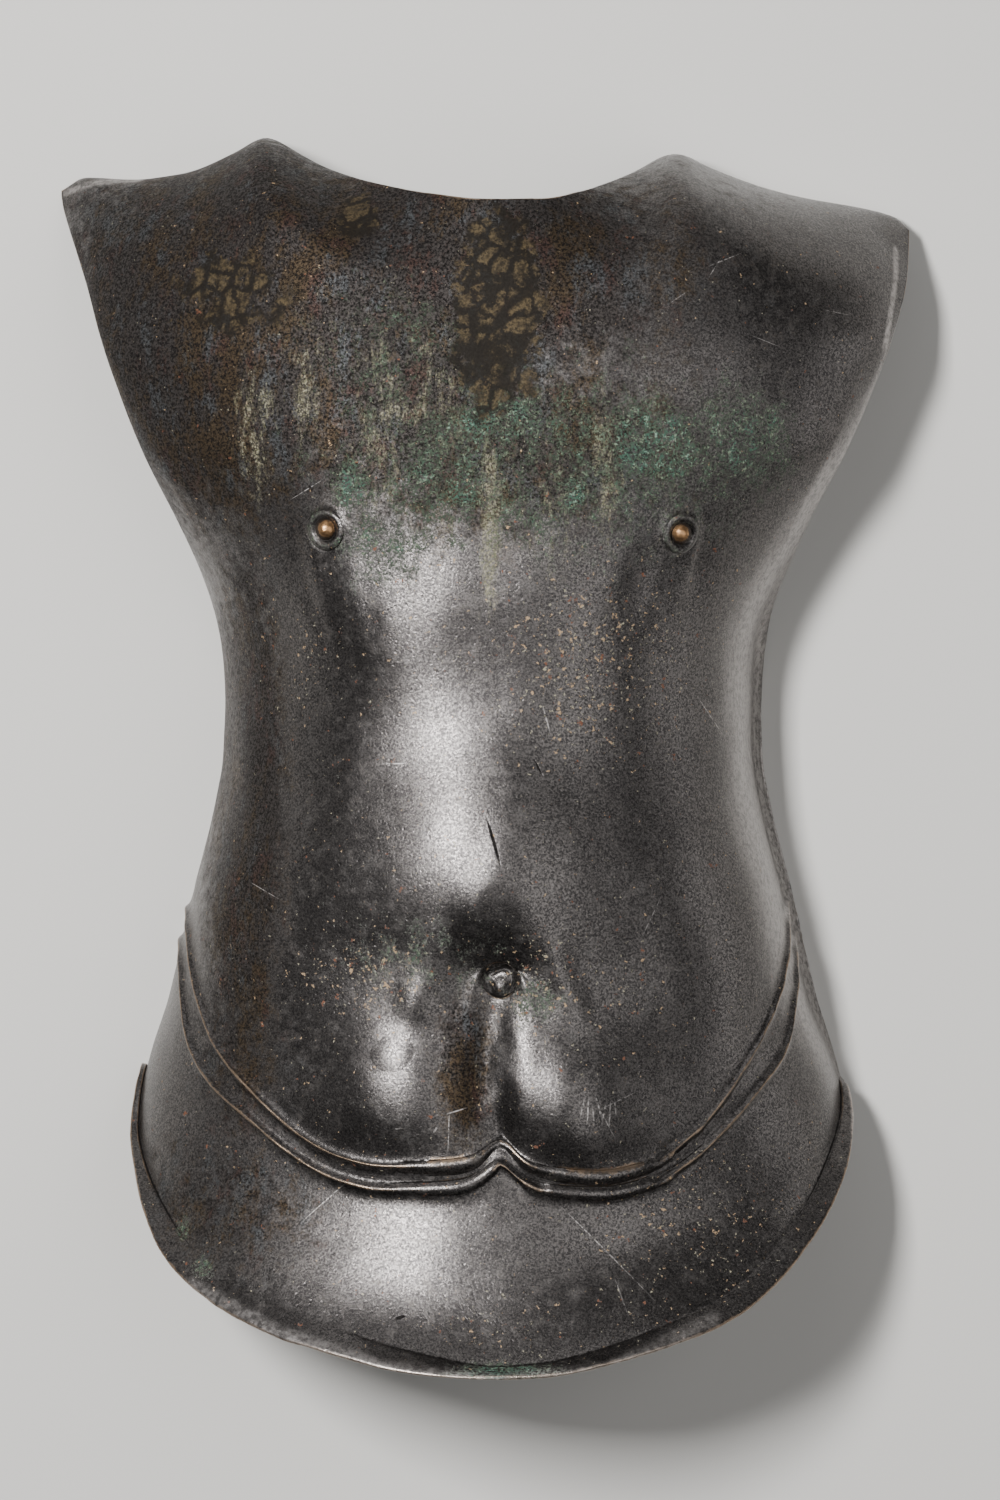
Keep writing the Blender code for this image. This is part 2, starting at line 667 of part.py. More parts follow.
def stud(name: str, seat: tuple, material: bpy.types.Material) -> bpy.types.Object:
    """A turned stud: a dome over the socket, a shank through the hole, a peened tail behind."""
    floor = AREOLA_RINGS[-1].rise * AREOLA_RISE
    under = floor + 2 * CLEARANCE
    behind = floor - WALL - 2 * CLEARANCE
    profile = [
        (0.0, STUD_RISE),
        (0.22 * STUD_RADIUS, 0.97 * STUD_RISE),
        (0.50 * STUD_RADIUS, 0.82 * STUD_RISE),
        (0.78 * STUD_RADIUS, 0.52 * STUD_RISE),
        (0.90 * STUD_RADIUS, 0.20 * STUD_RISE),
        (0.86 * STUD_RADIUS, under),
        (SHANK_RADIUS, under),
        (SHANK_RADIUS, behind),
        (TAIL_RADIUS, behind),
        (0.80 * TAIL_RADIUS, behind - 0.7 * TAIL_RISE),
        (0.0, behind - TAIL_RISE),
    ]
    bm = bmesh.new()
    verts = [bm.verts.new((radius, 0.0, height)) for radius, height in profile]
    edges = [bm.edges.new(pair) for pair in zip(verts, verts[1:])]
    bmesh.ops.spin(bm, geom=verts + edges, cent=(0, 0, 0), axis=(0, 0, 1), angle=2 * math.pi,
                   steps=STUD_SIDES, use_merge=True, use_duplicate=False)
    bmesh.ops.remove_doubles(bm, verts=bm.verts[:], dist=1e-6)
    bmesh.ops.recalc_face_normals(bm, faces=bm.faces[:])
    obj = add_object(name, bm, material)
    hub, normal = seat
    obj.matrix_world = Matrix.Translation(hub) @ normal.to_track_quat("Z", "Y").to_matrix().to_4x4()
    return obj


def centre_on_bench(objects: list) -> None:
    """Moves the whole part so that its box stands centred over the origin."""
    corners = [obj.matrix_world @ vert.co for obj in objects for vert in obj.data.vertices]
    low = Vector([min(c[i] for c in corners) for i in range(3)])
    high = Vector([max(c[i] for c in corners) for i in range(3)])
    shift = Vector((-(low.x + high.x) / 2, -(low.y + high.y) / 2, -low.z))
    for obj in objects:
        obj.matrix_world = Matrix.Translation(shift) @ obj.matrix_world


def main() -> None:
    for obj in list(bpy.data.objects):
        bpy.data.objects.remove(obj)
    dark = bronze("patinated bronze sheet", (0.080, 0.070, 0.058), 0.42)
    worn = bronze("worn bronze stud", (0.340, 0.220, 0.110), 0.35)
    plate, seats = breastplate(dark)
    studs = [
        stud("nipple_stud_left", seats[0], worn),
        stud("nipple_stud_right", seats[1], worn),
    ]
    bpy.context.view_layer.update()
    centre_on_bench([plate, *studs])


main()
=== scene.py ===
"""Front plate of a bronze muscle cuirass on a pale studio floor, made over its CAD frame.

Metres and +Z up, in the frame's own axes. The plate lies on its rim with the chest up and the neck
towards +Y. Places on it are shares of its box, across from its left side and down from its neck.
"""
import logging
import math
from dataclasses import dataclass
from enum import Enum
from typing import NamedTuple

import bmesh
import bpy
import numpy as np
from mathutils import Matrix, Vector, noise
from mathutils.bvhtree import BVHTree

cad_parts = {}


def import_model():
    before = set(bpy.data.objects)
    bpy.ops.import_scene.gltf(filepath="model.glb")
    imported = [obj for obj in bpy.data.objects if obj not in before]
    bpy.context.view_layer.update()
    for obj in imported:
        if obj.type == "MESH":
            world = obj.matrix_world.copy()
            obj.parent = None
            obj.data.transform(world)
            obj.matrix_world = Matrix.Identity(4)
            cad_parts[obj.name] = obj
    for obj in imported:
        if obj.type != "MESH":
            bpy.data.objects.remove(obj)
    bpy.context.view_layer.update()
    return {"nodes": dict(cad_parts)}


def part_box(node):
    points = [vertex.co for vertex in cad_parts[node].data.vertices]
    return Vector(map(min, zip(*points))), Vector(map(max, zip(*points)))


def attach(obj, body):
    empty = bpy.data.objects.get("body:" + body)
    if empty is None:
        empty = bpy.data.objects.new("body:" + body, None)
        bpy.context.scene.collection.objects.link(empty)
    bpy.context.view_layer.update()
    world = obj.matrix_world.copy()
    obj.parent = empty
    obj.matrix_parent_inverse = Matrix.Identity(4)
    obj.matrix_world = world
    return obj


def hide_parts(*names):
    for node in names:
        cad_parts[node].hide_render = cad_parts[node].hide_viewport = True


LOG = logging.getLogger("cuirass")
BODY = "root"
MM = 0.001
HAIR = 0.01 * MM    # closer than this, two points are one
NO_LENGTH = 1e-12   # the least square of an edge's length
PER_METRE = 1000    # millimetres
ANY_ANGLE = 3.1     # in radians, so that every pair of triangles may join
THROUGH = 10.0      # metres, so that a mark goes straight down through the plate
PATCH_EDGE = 1.4    # how crisply a painted patch ends
BAND_EDGE = 4       # how crisply a painted strip ends
SEED_WAY = (1.0, 0.37, 0.71)    # the way that a seed shifts a pattern
Value = bpy.types.NodeSocket | float | str | tuple


class Slot(Enum):
    """The record's material slots."""

    SHEET = "bronze_sheet"
    STUD = "bronze_stud"


class Side(Enum):
    """Which side of the sheet a face of the plate belongs to, as a material index."""

    FRONT = 0
    BACK = 1
    RIM = 2


class Mask(Enum):
    """The vertex attributes that the finishes read."""

    BLOOM = "bloom"
    CRUST = "crust"
    STREAK = "streak"
    SPECK = "speck"
    WORN = "worn"
    HOLLOW = "hollow"
    # Light grey: bare metal on the turned edges, and a painted rim highlight on edges and steep
    # flanks.
    BRIGHT = "bright"
    # Duller, browner patina, with painted shade down the left flank and in the belly-line hollow.
    MATT = "matt"


class Kind(Enum):
    """The nodes that the finishes are made of.

    Each is Blender's type, its settings, its inputs in the order that a call gives them, and the
    output that is used.
    """

    COORDINATES = ("ShaderNodeTexCoord", {}, (), "Object")
    PLACE = ("ShaderNodeMapping", {}, ("Vector", "Location", "Scale"), "Vector")
    MARK = ("ShaderNodeMapping", {"vector_type": "TEXTURE"},
            ("Vector", "Location", "Rotation", "Scale"), "Vector")
    SCALED = ("ShaderNodeVectorMath", {"operation": "SCALE"}, (0, "Scale"), "Vector")
    MOVED = ("ShaderNodeVectorMath", {"operation": "ADD"}, (0, 1), "Vector")
    CLOUDS = ("ShaderNodeTexNoise", {}, ("Vector", "Scale", "Detail", "Roughness"), "Fac")
    CELLS = ("ShaderNodeTexVoronoi", {"feature": "F1"}, ("Vector", "Scale"), "Distance")
    SOFT_CELLS = ("ShaderNodeTexVoronoi", {"feature": "SMOOTH_F1"}, ("Vector", "Scale"), "Distance")
    EDGES = ("ShaderNodeTexVoronoi", {"feature": "DISTANCE_TO_EDGE"}, ("Vector", "Scale"),
             "Distance")
    OVAL = ("ShaderNodeTexGradient", {"gradient_type": "SPHERICAL"}, ("Vector",), "Fac")
    MASK = ("ShaderNodeAttribute", {}, (), "Fac")
    STEP = ("ShaderNodeMapRange", {"interpolation_type": "SMOOTHSTEP"},
            ("Value", "From Min", "From Max", "To Min", "To Max"), "Result")
    PLUS = ("ShaderNodeMath", {"operation": "ADD"}, (0, 1), "Value")
    MINUS = ("ShaderNodeMath", {"operation": "SUBTRACT"}, (0, 1), "Value")
    TIMES = ("ShaderNodeMath", {"operation": "MULTIPLY"}, (0, 1), "Value")
    TIMES_PLUS = ("ShaderNodeMath", {"operation": "MULTIPLY_ADD"}, (0, 1, 2), "Value")
    LARGER = ("ShaderNodeMath", {"operation": "MAXIMUM"}, (0, 1), "Value")
    COLOURS = ("ShaderNodeMix", {"data_type": "RGBA"}, (0, 6, 7), 2)
    NUMBERS = ("ShaderNodeMix", {"data_type": "FLOAT"}, (0, 2, 3), 0)
    BUMP = ("ShaderNodeBump", {}, ("Height", "Distance", "Strength", "Normal"), "Normal")


class Patch(NamedTuple):
    """A soft oval on the plate.

    Args:
        across, down: its middle, as shares of the plate's box.
        wide, tall: half its size, as shares of the box's width and height.
        strength: how strongly it shows.
    """

    across: float
    down: float
    wide: float
    tall: float
    strength: float


class Stroke(NamedTuple):
    """A fold or hollow worked along a line.

    Args:
        points: (across, down) shares of the plate's box.
        width: half its width in millimetres.
        rise: how far it stands out, in millimetres.
    """

    points: tuple
    width: float
    rise: float


class Band(NamedTuple):
    """A narrow strip painted along a line.

    Args:
        points: (across, down) shares of the plate's box.
        width: half its width in millimetres.
        strength: how strongly it shows.
    """

    points: tuple
    width: float
    strength: float


class Scratch(NamedTuple):
    """A straight scratch.

    Args:
        across, down: its middle, as shares of the plate's box.
        length, width: in millimetres.
        turn: degrees from across the plate, counterclockwise.
    """

    across: float
    down: float
    length: float
    width: float
    turn: float


class Clouds(NamedTuple):
    """A cloudy pattern.

    Args:
        size: its largest features, in millimetres.
        detail: how many finer layers it has.
        rough: how strong they are.
        seed: shifts it, so that no two patterns agree.
        stretch: how it is squeezed along each axis.
    """

    size: float
    detail: float = 3.0
    rough: float = 0.55
    seed: float = 0.0
    stretch: tuple = (1.0, 1.0, 1.0)


class Coat(NamedTuple):
    """What lies on the metal at a place.

    Args:
        colour: a socket or a hex colour.
        metal: how metallic it is.
        rough: its roughness.
    """

    colour: Value
    metal: Value
    rough: Value


class Relief(NamedTuple):
    """One layer of fine relief.

    Args:
        height: its pattern.
        depth: in millimetres.
        strength: how much of it shows.
    """

    height: bpy.types.NodeSocket
    depth: float
    strength: float


class Softbox(NamedTuple):
    """A flat studio light that faces the plate.

    Args:
        name: its name.
        place: where it hangs.
        wide, tall: its size.
        power: in watts.
    """

    name: str
    place: tuple
    wide: float
    tall: float
    power: float


BLOOM = [
    Patch(0.690, 0.264, 0.080, 0.045, 0.72),
    Patch(0.520, 0.245, 0.085, 0.026, 0.66),
    Patch(0.352, 0.296, 0.030, 0.026, 0.70),
    Patch(0.597, 0.304, 0.026, 0.020, 0.70),
    Patch(0.790, 0.262, 0.080, 0.055, 0.60),
    Patch(0.450, 0.290, 0.100, 0.060, 0.52),
    Patch(0.575, 0.280, 0.300, 0.095, 0.46),
    Patch(0.400, 0.200, 0.120, 0.080, 0.36),
    Patch(0.390, 0.345, 0.060, 0.040, 0.50),
    Patch(0.520, 0.998, 0.080, 0.010, 0.90),
    Patch(0.155, 0.892, 0.012, 0.014, 0.55),
    Patch(0.182, 0.922, 0.016, 0.012, 0.58),
    Patch(0.560, 0.705, 0.045, 0.022, 0.46),
    Patch(0.440, 0.670, 0.110, 0.040, 0.36),
]

CRUST = [
    Patch(0.515, 0.160, 0.058, 0.088, 1.10),
    Patch(0.361, 0.080, 0.030, 0.022, 1.00),
    Patch(0.215, 0.140, 0.085, 0.042, 0.80),
    Patch(0.350, 0.170, 0.080, 0.050, 0.35),
    Patch(0.540, 0.225, 0.045, 0.025, 0.50),
    Patch(0.590, 0.120, 0.040, 0.030, 0.35),
]

STREAK = [
    Patch(0.240, 0.255, 0.030, 0.075, 0.70),
    Patch(0.300, 0.230, 0.022, 0.060, 0.60),
    Patch(0.508, 0.325, 0.016, 0.080, 0.95),
    Patch(0.640, 0.285, 0.022, 0.085, 0.75),
    Patch(0.385, 0.250, 0.040, 0.090, 0.65),
    Patch(0.450, 0.235, 0.050, 0.090, 0.60),
    Patch(0.575, 0.300, 0.045, 0.100, 0.55),
    Patch(0.720, 0.310, 0.050, 0.070, 0.45),
    Patch(0.350, 0.200, 0.130, 0.080, 0.42),
    Patch(0.560, 0.290, 0.260, 0.100, 0.40),
]

SPECK = [
    Patch(0.380, 0.685, 0.085, 0.030, 1.10),
    Patch(0.560, 0.690, 0.060, 0.045, 0.95),
    Patch(0.620, 0.435, 0.120, 0.085, 1.00),
    Patch(0.305, 0.435, 0.030, 0.060, 0.75),
    Patch(0.350, 0.690, 0.075, 0.035, 0.85),
    Patch(0.740, 0.890, 0.130, 0.080, 0.62),
    Patch(0.640, 0.690, 0.080, 0.040, 0.55),
    Patch(0.520, 0.960, 0.100, 0.030, 0.60),
    Patch(0.520, 0.400, 0.380, 0.100, 0.35),
    Patch(0.500, 0.700, 0.350, 0.150, 0.25),
]

# Browner, duller patina on the shoulders and chest, and painted shade down the left side.
MATT = [
    Patch(0.200, 0.160, 0.220, 0.170, 1.10),
    Patch(0.430, 0.125, 0.320, 0.110, 1.00),
    Patch(0.400, 0.230, 0.160, 0.090, 0.90),
    Patch(0.520, 0.265, 0.240, 0.075, 0.80),
    # Painted shade: these four patches, down the left flank and skirt and in the belly-line hollow.
    Patch(0.225, 0.560, 0.050, 0.220, 1.00),
    Patch(0.220, 0.760, 0.060, 0.080, 0.60),
    Patch(0.210, 0.870, 0.110, 0.060, 0.60),
    Patch(0.478, 0.760, 0.030, 0.060, 1.00),
]

# Turned edges painted light grey: partly bare metal, partly a painted rim highlight.
BARE_AND_RIM_SHEEN_EDGES = [
    Band(((0.006, 0.043), (0.040, 0.036), (0.095, 0.034)), 1.7, 0.58),
    Band(((0.981, 0.094), (0.979, 0.120), (0.963, 0.180)), 1.3, 0.62),
    Band(((0.826, 0.386), (0.822, 0.440), (0.832, 0.540), (0.850, 0.625)), 2.4, 0.8),
    Band(((0.925, 0.753), (0.935, 0.800), (0.930, 0.845)), 2.2, 0.8),
    Band(((0.168, 0.935), (0.270, 0.968), (0.385, 0.991), (0.518, 1.002),
          (0.640, 0.993), (0.760, 0.958)), 3.2, 0.46),
]

FOLDS = [
    Stroke(((0.440, 0.712), (0.452, 0.680), (0.480, 0.655), (0.515, 0.646),
            (0.550, 0.656), (0.590, 0.690), (0.602, 0.710)), 4.5, 0.60),
    Stroke(((0.470, 0.720), (0.490, 0.690), (0.520, 0.675)), 5.0, -0.60),
    Stroke(((0.505, 0.684), (0.525, 0.679), (0.545, 0.684)), 1.3, -0.90),
    Stroke(((0.518, 0.697), (0.519, 0.698)), 1.6, 1.10),
    Stroke(((0.550, 0.697), (0.592, 0.692)), 1.4, 0.60),
    Stroke(((0.511, 0.725), (0.513, 0.760), (0.511, 0.812)), 1.5, 0.40),
    Stroke(((0.486, 0.720), (0.484, 0.770), (0.492, 0.815)), 7.0, -0.60),
]

SWELLS = [
    Patch(0.466, 0.832, 0.052, 0.038, 2.80),
    Patch(0.400, 0.745, 0.050, 0.030, -1.10),
    Patch(0.600, 0.800, 0.042, 0.044, 3.40),
    Patch(0.655, 0.834, 0.068, 0.042, 2.40),
    Patch(0.435, 0.904, 0.150, 0.036, 3.20),
    Patch(0.460, 0.450, 0.080, 0.045, -0.80),
    Patch(0.560, 0.630, 0.070, 0.070, 1.80),
    Patch(0.325, 0.385, 0.055, 0.038, 1.70),
    Patch(0.300, 0.210, 0.055, 0.050, 0.80),
]

DENTS = [
    Patch(0.410, 0.395, 0.030, 0.022, -0.25),
    Patch(0.300, 0.560, 0.040, 0.030, 0.20),
    Patch(0.700, 0.520, 0.035, 0.028, -0.22),
    Patch(0.560, 0.580, 0.025, 0.030, -0.25),
    Patch(0.330, 0.900, 0.035, 0.020, -0.25),
    Patch(0.780, 0.860, 0.030, 0.022, 0.20),
    Patch(0.250, 0.330, 0.030, 0.025, -0.20),
    Patch(0.640, 0.200, 0.040, 0.030, 0.20),
]

GOUGES = [
    Scratch(0.512, 0.580, 24.0, 1.5, -74.0),
    Scratch(0.562, 0.521, 10.0, 0.9, -63.0),
    Scratch(0.407, 0.955, 6.0, 1.6, 20.0),
]

SCRATCHES = [
    Scratch(0.774, 0.115, 18.0, 0.5, 24.0),
    Scratch(0.762, 0.122, 12.0, 0.5, 58.0),
    Scratch(0.905, 0.154, 14.0, 0.5, -8.0),
    Scratch(0.720, 0.147, 8.0, 0.6, 35.0),
    Scratch(0.571, 0.483, 13.0, 0.8, -75.0),
    Scratch(0.590, 0.594, 8.0, 0.8, -12.0),
    Scratch(0.398, 0.518, 13.0, 0.7, 2.0),
    Scratch(0.641, 0.907, 65.0, 0.6, -45.0),
    Scratch(0.322, 0.866, 27.0, 0.6, 42.0),
    Scratch(0.470, 0.793, 10.0, 0.7, 17.0),
    Scratch(0.461, 0.810, 19.0, 0.5, 88.0),
    Scratch(0.405, 0.807, 4.0, 0.8, 5.0),
    Scratch(0.446, 0.808, 5.0, 0.9, 58.0),
    Scratch(0.640, 0.804, 15.0, 0.6, -62.0),
    Scratch(0.652, 0.785, 18.0, 0.5, 24.0),
    *[Scratch(0.611 + 0.0062 * i, 0.790 + 0.003 * (i % 3), 8.0 + 4.0 * (i % 2), 0.8,
              78.0 + 9.0 * (i % 4)) for i in range(7)],
    Scratch(0.655, 0.940, 18.0, 0.6, -70.0),
    Scratch(0.300, 0.300, 18.0, 0.4, 30.0),
    Scratch(0.760, 0.480, 22.0, 0.4, -55.0),
    Scratch(0.250, 0.620, 16.0, 0.4, -28.0),
    Scratch(0.690, 0.640, 20.0, 0.4, 64.0),
    Scratch(0.820, 0.180, 15.0, 0.4, -20.0),
]


def linear(code: str) -> tuple:
    """Turns an sRGB hex colour into a linear one.

    Args:
        code: six hex digits.

    Returns:
        Red, green, blue and an alpha of 1.
    """
    channels = [int(code[i:i + 2], 16) / 255 for i in (0, 2, 4)]
    return (*[c / 12.92 if c <= 0.04045 else ((c + 0.055) / 1.055) ** 2.4 for c in channels], 1.0)


def shifted(seed: float) -> tuple:
    """How far a seed shifts a pattern along each axis."""
    return tuple(seed * share for share in SEED_WAY)


@dataclass(frozen=True)
class Box:
    """The plate's box, which places are shares of."""

    low: Vector
    high: Vector

    def place(self, across: float, down: float) -> tuple:
        """The x and y of a place given in shares of the box."""
        return (self.low.x + across * (self.high.x - self.low.x),
                self.high.y - down * (self.high.y - self.low.y))


class Graph:
    """A material's node tree, and the patterns that the finishes share."""

    def __init__(self, name: str) -> None:
        """Starts a material with its Principled BSDF.

        Args:
            name: the real material and how it was made.
        """
        self.material = bpy.data.materials.new(name)
        self.material.use_nodes = True
        self.tree = self.material.node_tree
        self.shader = self.tree.nodes["Principled BSDF"]
        self.place = self.add(Kind.COORDINATES)

    def give(self, socket: bpy.types.NodeSocket, value: Value) -> None:
        """Links a node's input, or sets it.

        Args:
            socket: the input.
            value: a socket to link from, a value or a hex colour.
        """
        if isinstance(value, bpy.types.NodeSocket):
            self.tree.links.new(value, socket)
        else:
            socket.default_value = linear(value) if isinstance(value, str) else value

    def add(self, kind: Kind, *values: Value, **settings: str) -> bpy.types.NodeSocket:
        """Adds a node with its settings and links.

        Args:
            kind: what it is.
            values: its inputs in the kind's order, each a socket, a value or a hex colour.
            settings: further settings of the node.

        Returns:
            The output that the kind names.
        """
        blender_type, own, inputs, output = kind.value
        made = self.tree.nodes.new(blender_type)
        for name, setting in {**own, **settings}.items():
            setattr(made, name, setting)
        for key, value in zip(inputs, values):
            self.give(made.inputs[key], value)
        return made.outputs[output]

    def clouds(self, clouds: Clouds) -> bpy.types.NodeSocket:
        """A cloudy pattern at its real size, 0.5 on average."""
        place = self.add(Kind.PLACE, self.place, shifted(clouds.seed), clouds.stretch)
        return self.add(Kind.CLOUDS, place, PER_METRE / clouds.size, clouds.detail, clouds.rough)

    def cells(self, kind: Kind, size: float, seed: float,
              bend: bpy.types.NodeSocket | None = None) -> bpy.types.NodeSocket:
        """A pattern of cells at its real size.

        Args:
            kind: which pattern of cells.
            size: a cell's size in millimetres.
            seed: shifts the pattern.
            bend: a pattern that bends the cells, by up to their own size.

        Returns:
            The pattern.
        """
        place = self.add(Kind.PLACE, self.place, shifted(seed))
        if bend is not None:
            shift = self.add(Kind.SCALED, (size * MM, size * MM, 0.0), bend)
            place = self.add(Kind.MOVED, place, shift)
        return self.add(kind, place, PER_METRE / size)

    def grown(self, mask: Mask, grain: bpy.types.NodeSocket, gain: float, low: float,
              high: float) -> bpy.types.NodeSocket:
        """A mask broken up by a grain, so that it ends in flakes and not in a soft edge.

        Args:
            mask: the mask.
            grain: a cloudy pattern.
            gain: how much the mask adds to the grain.
            low, high: where the sum begins to show, and where it shows in full.

        Returns:
            How strongly it shows, from 0 to 1.
        """
        drawn = self.add(Kind.MASK, attribute_name=mask.value)
        return self.add(Kind.STEP, self.add(Kind.TIMES_PLUS, drawn, gain, grain), low, high)

    def marks(self, box: Box, marks: list) -> bpy.types.NodeSocket:
        """Straight scratches or gouges.

        Args:
            box: the plate's box.
            marks: the scratches.

        Returns:
            1 along the middle of one, 0 away from them all.
        """
        found = None
        for mark in marks:
            x, y = box.place(mark.across, mark.down)
            lying = self.add(Kind.MARK, self.place, (x, y, 0.0),
                             (0.0, 0.0, math.radians(mark.turn)),
                             (mark.length * MM / 2, mark.width * MM / 2, THROUGH))
            oval = self.add(Kind.OVAL, lying)
            found = oval if found is None else self.add(Kind.LARGER, found, oval)
        return found

    def cover(self, share: Value, under: Coat, over: Coat, strength: float = 1.0) -> Coat:
        """Lays one coat over another.

        Args:
            share: how much of the upper coat there is, from 0 to 1.
            under: the lower coat.
            over: the upper coat.
            strength: how much of the upper coat's colour hides the lower one.

        Returns:
            What is seen.
        """
        tint = share if strength == 1.0 else self.add(Kind.TIMES, share, strength)
        return Coat(self.add(Kind.COLOURS, tint, under.colour, over.colour),
                    self.add(Kind.NUMBERS, share, under.metal, over.metal),
                    self.add(Kind.NUMBERS, share, under.rough, over.rough))

    def relief(self, layers: list) -> bpy.types.NodeSocket:
        """Layers of fine relief, one over the other.

        Args:
            layers: the layers, the lowest first.

        Returns:
            The normal.
        """
        normals = []
        for layer in layers:
            normals.append(self.add(Kind.BUMP, layer.height, layer.depth * MM, layer.strength,
                                    *normals[-1:]))
        return normals[-1]

    def finish(self, coat: Coat, normal: Value, gloss: Value = 0.5) -> bpy.types.Material:
        """Gives the shader what it shows.

        Args:
            coat: the colour, metal and roughness.
            normal: the fine relief.
            gloss: the specular level, at its default for bare metal.

        Returns:
            The material.
        """
        for name, value in (("Base Color", coat.colour), ("Metallic", coat.metal),
                            ("Roughness", coat.rough), ("Normal", normal),
                            ("Specular IOR Level", gloss)):
            self.give(self.shader.inputs[name], value)
        return self.material


@dataclass(frozen=True)
class PatinatedBronze:
    """Hammered bronze sheet with an old natural patina.

    The eye gets a dark, grainy sheen that breaks up into browns, greens and tan specks, and light
    that skids off the raised forms.
    """

    box: Box
    dark: str = "323030"
    middle: str = "625e5c"
    light: str = "8a8683"
    brown: str = "393533"
    rust: str = "43302a"
    slate: str = "4b4e50"
    near_black: str = "0e0c0b"
    scale: str = "1a1713"
    umber: str = "433624"
    copper: str = "94806c"
    moss: str = "3c463a"
    pale_moss: str = "727d68"
    teal: str = "3b5549"
    pale_teal: str = "7b9484"
    olive: str = "67654f"
    pale_olive: str = "938d79"
    ochre: str = "4f4431"
    tan: str = "a08769"
    red: str = "684433"
    # Light grey of bare metal, for the scratches and the painted rim highlight on edges and flanks.
    bare_and_rim_sheen: str = "aaa5a2"
    grain: Clouds = Clouds(0.9, 3.0, 0.80)
    blotch: Clouds = Clouds(6.0, 5.0, 0.72, 0.77)
    shade: Clouds = Clouds(45.0, 4.0, 0.60, 0.31)
    fleck: Clouds = Clouds(1.0, 2.0, 0.70, 0.13)
    glint: Clouds = Clouds(1.1, 3.0, 0.80, 0.57)
    grit: Clouds = Clouds(1.1, 4.0, 0.80, 1.9)
    run: Clouds = Clouds(4.5, 7.0, 0.85, 5.2, (1.0, 0.30, 1.0))
    run_grain: Clouds = Clouds(1.4, 3.0, 0.70, 5.9)
    powder: Clouds = Clouds(7.0, 8.0, 0.88, 7.7, (1.0, 0.7, 1.0))
    powder_grain: Clouds = Clouds(2.2, 4.0, 0.75, 8.8)
    scab: Clouds = Clouds(12.0, 6.0, 0.72, 9.4)
    scab_bend: Clouds = Clouds(7.0, 4.0, 0.75, 2.6)
    scab_lump: Clouds = Clouds(11.0, 4.0, 0.75, 6.1)
    scab_grit: Clouds = Clouds(1.4, 4.0, 0.80, 6.6)
    scab_cell: float = 9.5
    rub: Clouds = Clouds(2.4, 4.0, 0.70, 11.3)
    skip: Clouds = Clouds(1.5, 2.0, 0.55, 2.2)
    wave: Clouds = Clouds(16.0, 3.0, 0.50, 12.0)
    pit: float = 3.2

    def material(self) -> bpy.types.Material:
        """Builds the material.

        Returns:
            The material, with its coats laid on in the order in which they grew.
        """
        graph = Graph("bronze sheet, hammered and patinated")
        grain = graph.clouds(self.grain)
        blotch = graph.clouds(self.blotch)
        flecks = graph.add(Kind.STEP, graph.clouds(self.fleck), 0.44, 0.56)
        coat = self.matt(graph, self.bare(graph, grain, blotch), blotch)
        coat = self.streaks(graph, self.specks(graph, coat), flecks)
        coat, bloomed = self.bloom(graph, coat, flecks)
        coat, crusted = self.crust(graph, coat)
        coat = self.wear(graph, coat)
        normal = self.relief(graph, grain, blotch, graph.add(Kind.PLUS, bloomed, crusted))
        return graph.finish(coat, normal, graph.add(Kind.STEP, coat.rough, 0.42, 0.62, 0.5, 0.08))

    def bare(self, graph: Graph, grain: Value, blotch: Value) -> Coat:
        """The grey sheet under the corrosion, mottled at three sizes.

        Args:
            graph: the material's nodes.
            grain, blotch: its patterns.

        Returns:
            The coat.
        """
        colour = graph.add(Kind.COLOURS, graph.add(Kind.STEP, grain, 0.42, 0.60), self.dark,
                           self.middle)
        for pattern, low, high, most, tint in (
                (blotch, 0.46, 0.70, 0.18, self.light),
                (graph.clouds(self.glint), 0.57, 0.66, 0.30, self.light),
                (graph.clouds(self.shade), 0.45, 0.70, 0.20, self.dark)):
            share = graph.add(Kind.STEP, pattern, low, high, 0.0, most)
            colour = graph.add(Kind.COLOURS, share, colour, tint)
        polish = graph.add(Kind.STEP, grain, 0.40, 0.62)
        return Coat(colour, 0.95, graph.add(Kind.NUMBERS, polish, 0.36, 0.27))

    def matt(self, graph: Graph, coat: Coat, blotch: Value) -> Coat:
        """The browner, duller patina of the shoulders and chest, and painted shade down the left
        flank and skirt and in the hollow left of the belly line.

        Args:
            graph: the material's nodes.
            coat: what it lies on.
            blotch: its flakes.

        Returns:
            The coat.
        """
        # Patina and painted shade: the mask also darkens the left flank, skirt and belly-line
        # hollow.
        seen = graph.grown(Mask.MATT, blotch, 0.60, 0.50, 0.95)
        grit = graph.add(Kind.STEP, graph.clouds(self.grit), 0.40, 0.60)
        brown = graph.add(Kind.COLOURS, grit, self.near_black, self.brown)
        for size, low, tint, seed in ((22.0, 0.48, self.umber, 3.1), (13.0, 0.53, self.rust, 4.7),
                                      (16.0, 0.52, self.slate, 8.3)):
            pattern = graph.clouds(Clouds(size, 7.0, 0.8, seed, (1.0, 0.5, 1.0)))
            stain = graph.add(Kind.STEP, pattern, low, low + 0.10, 0.0, 0.8)
            tinted = graph.add(Kind.COLOURS, grit, self.near_black, tint)
            brown = graph.add(Kind.COLOURS, stain, brown, tinted)
        rough = graph.add(Kind.NUMBERS, grit, 0.75, 0.58)
        return graph.cover(seen, coat, Coat(brown, 0.70, rough), 0.93)

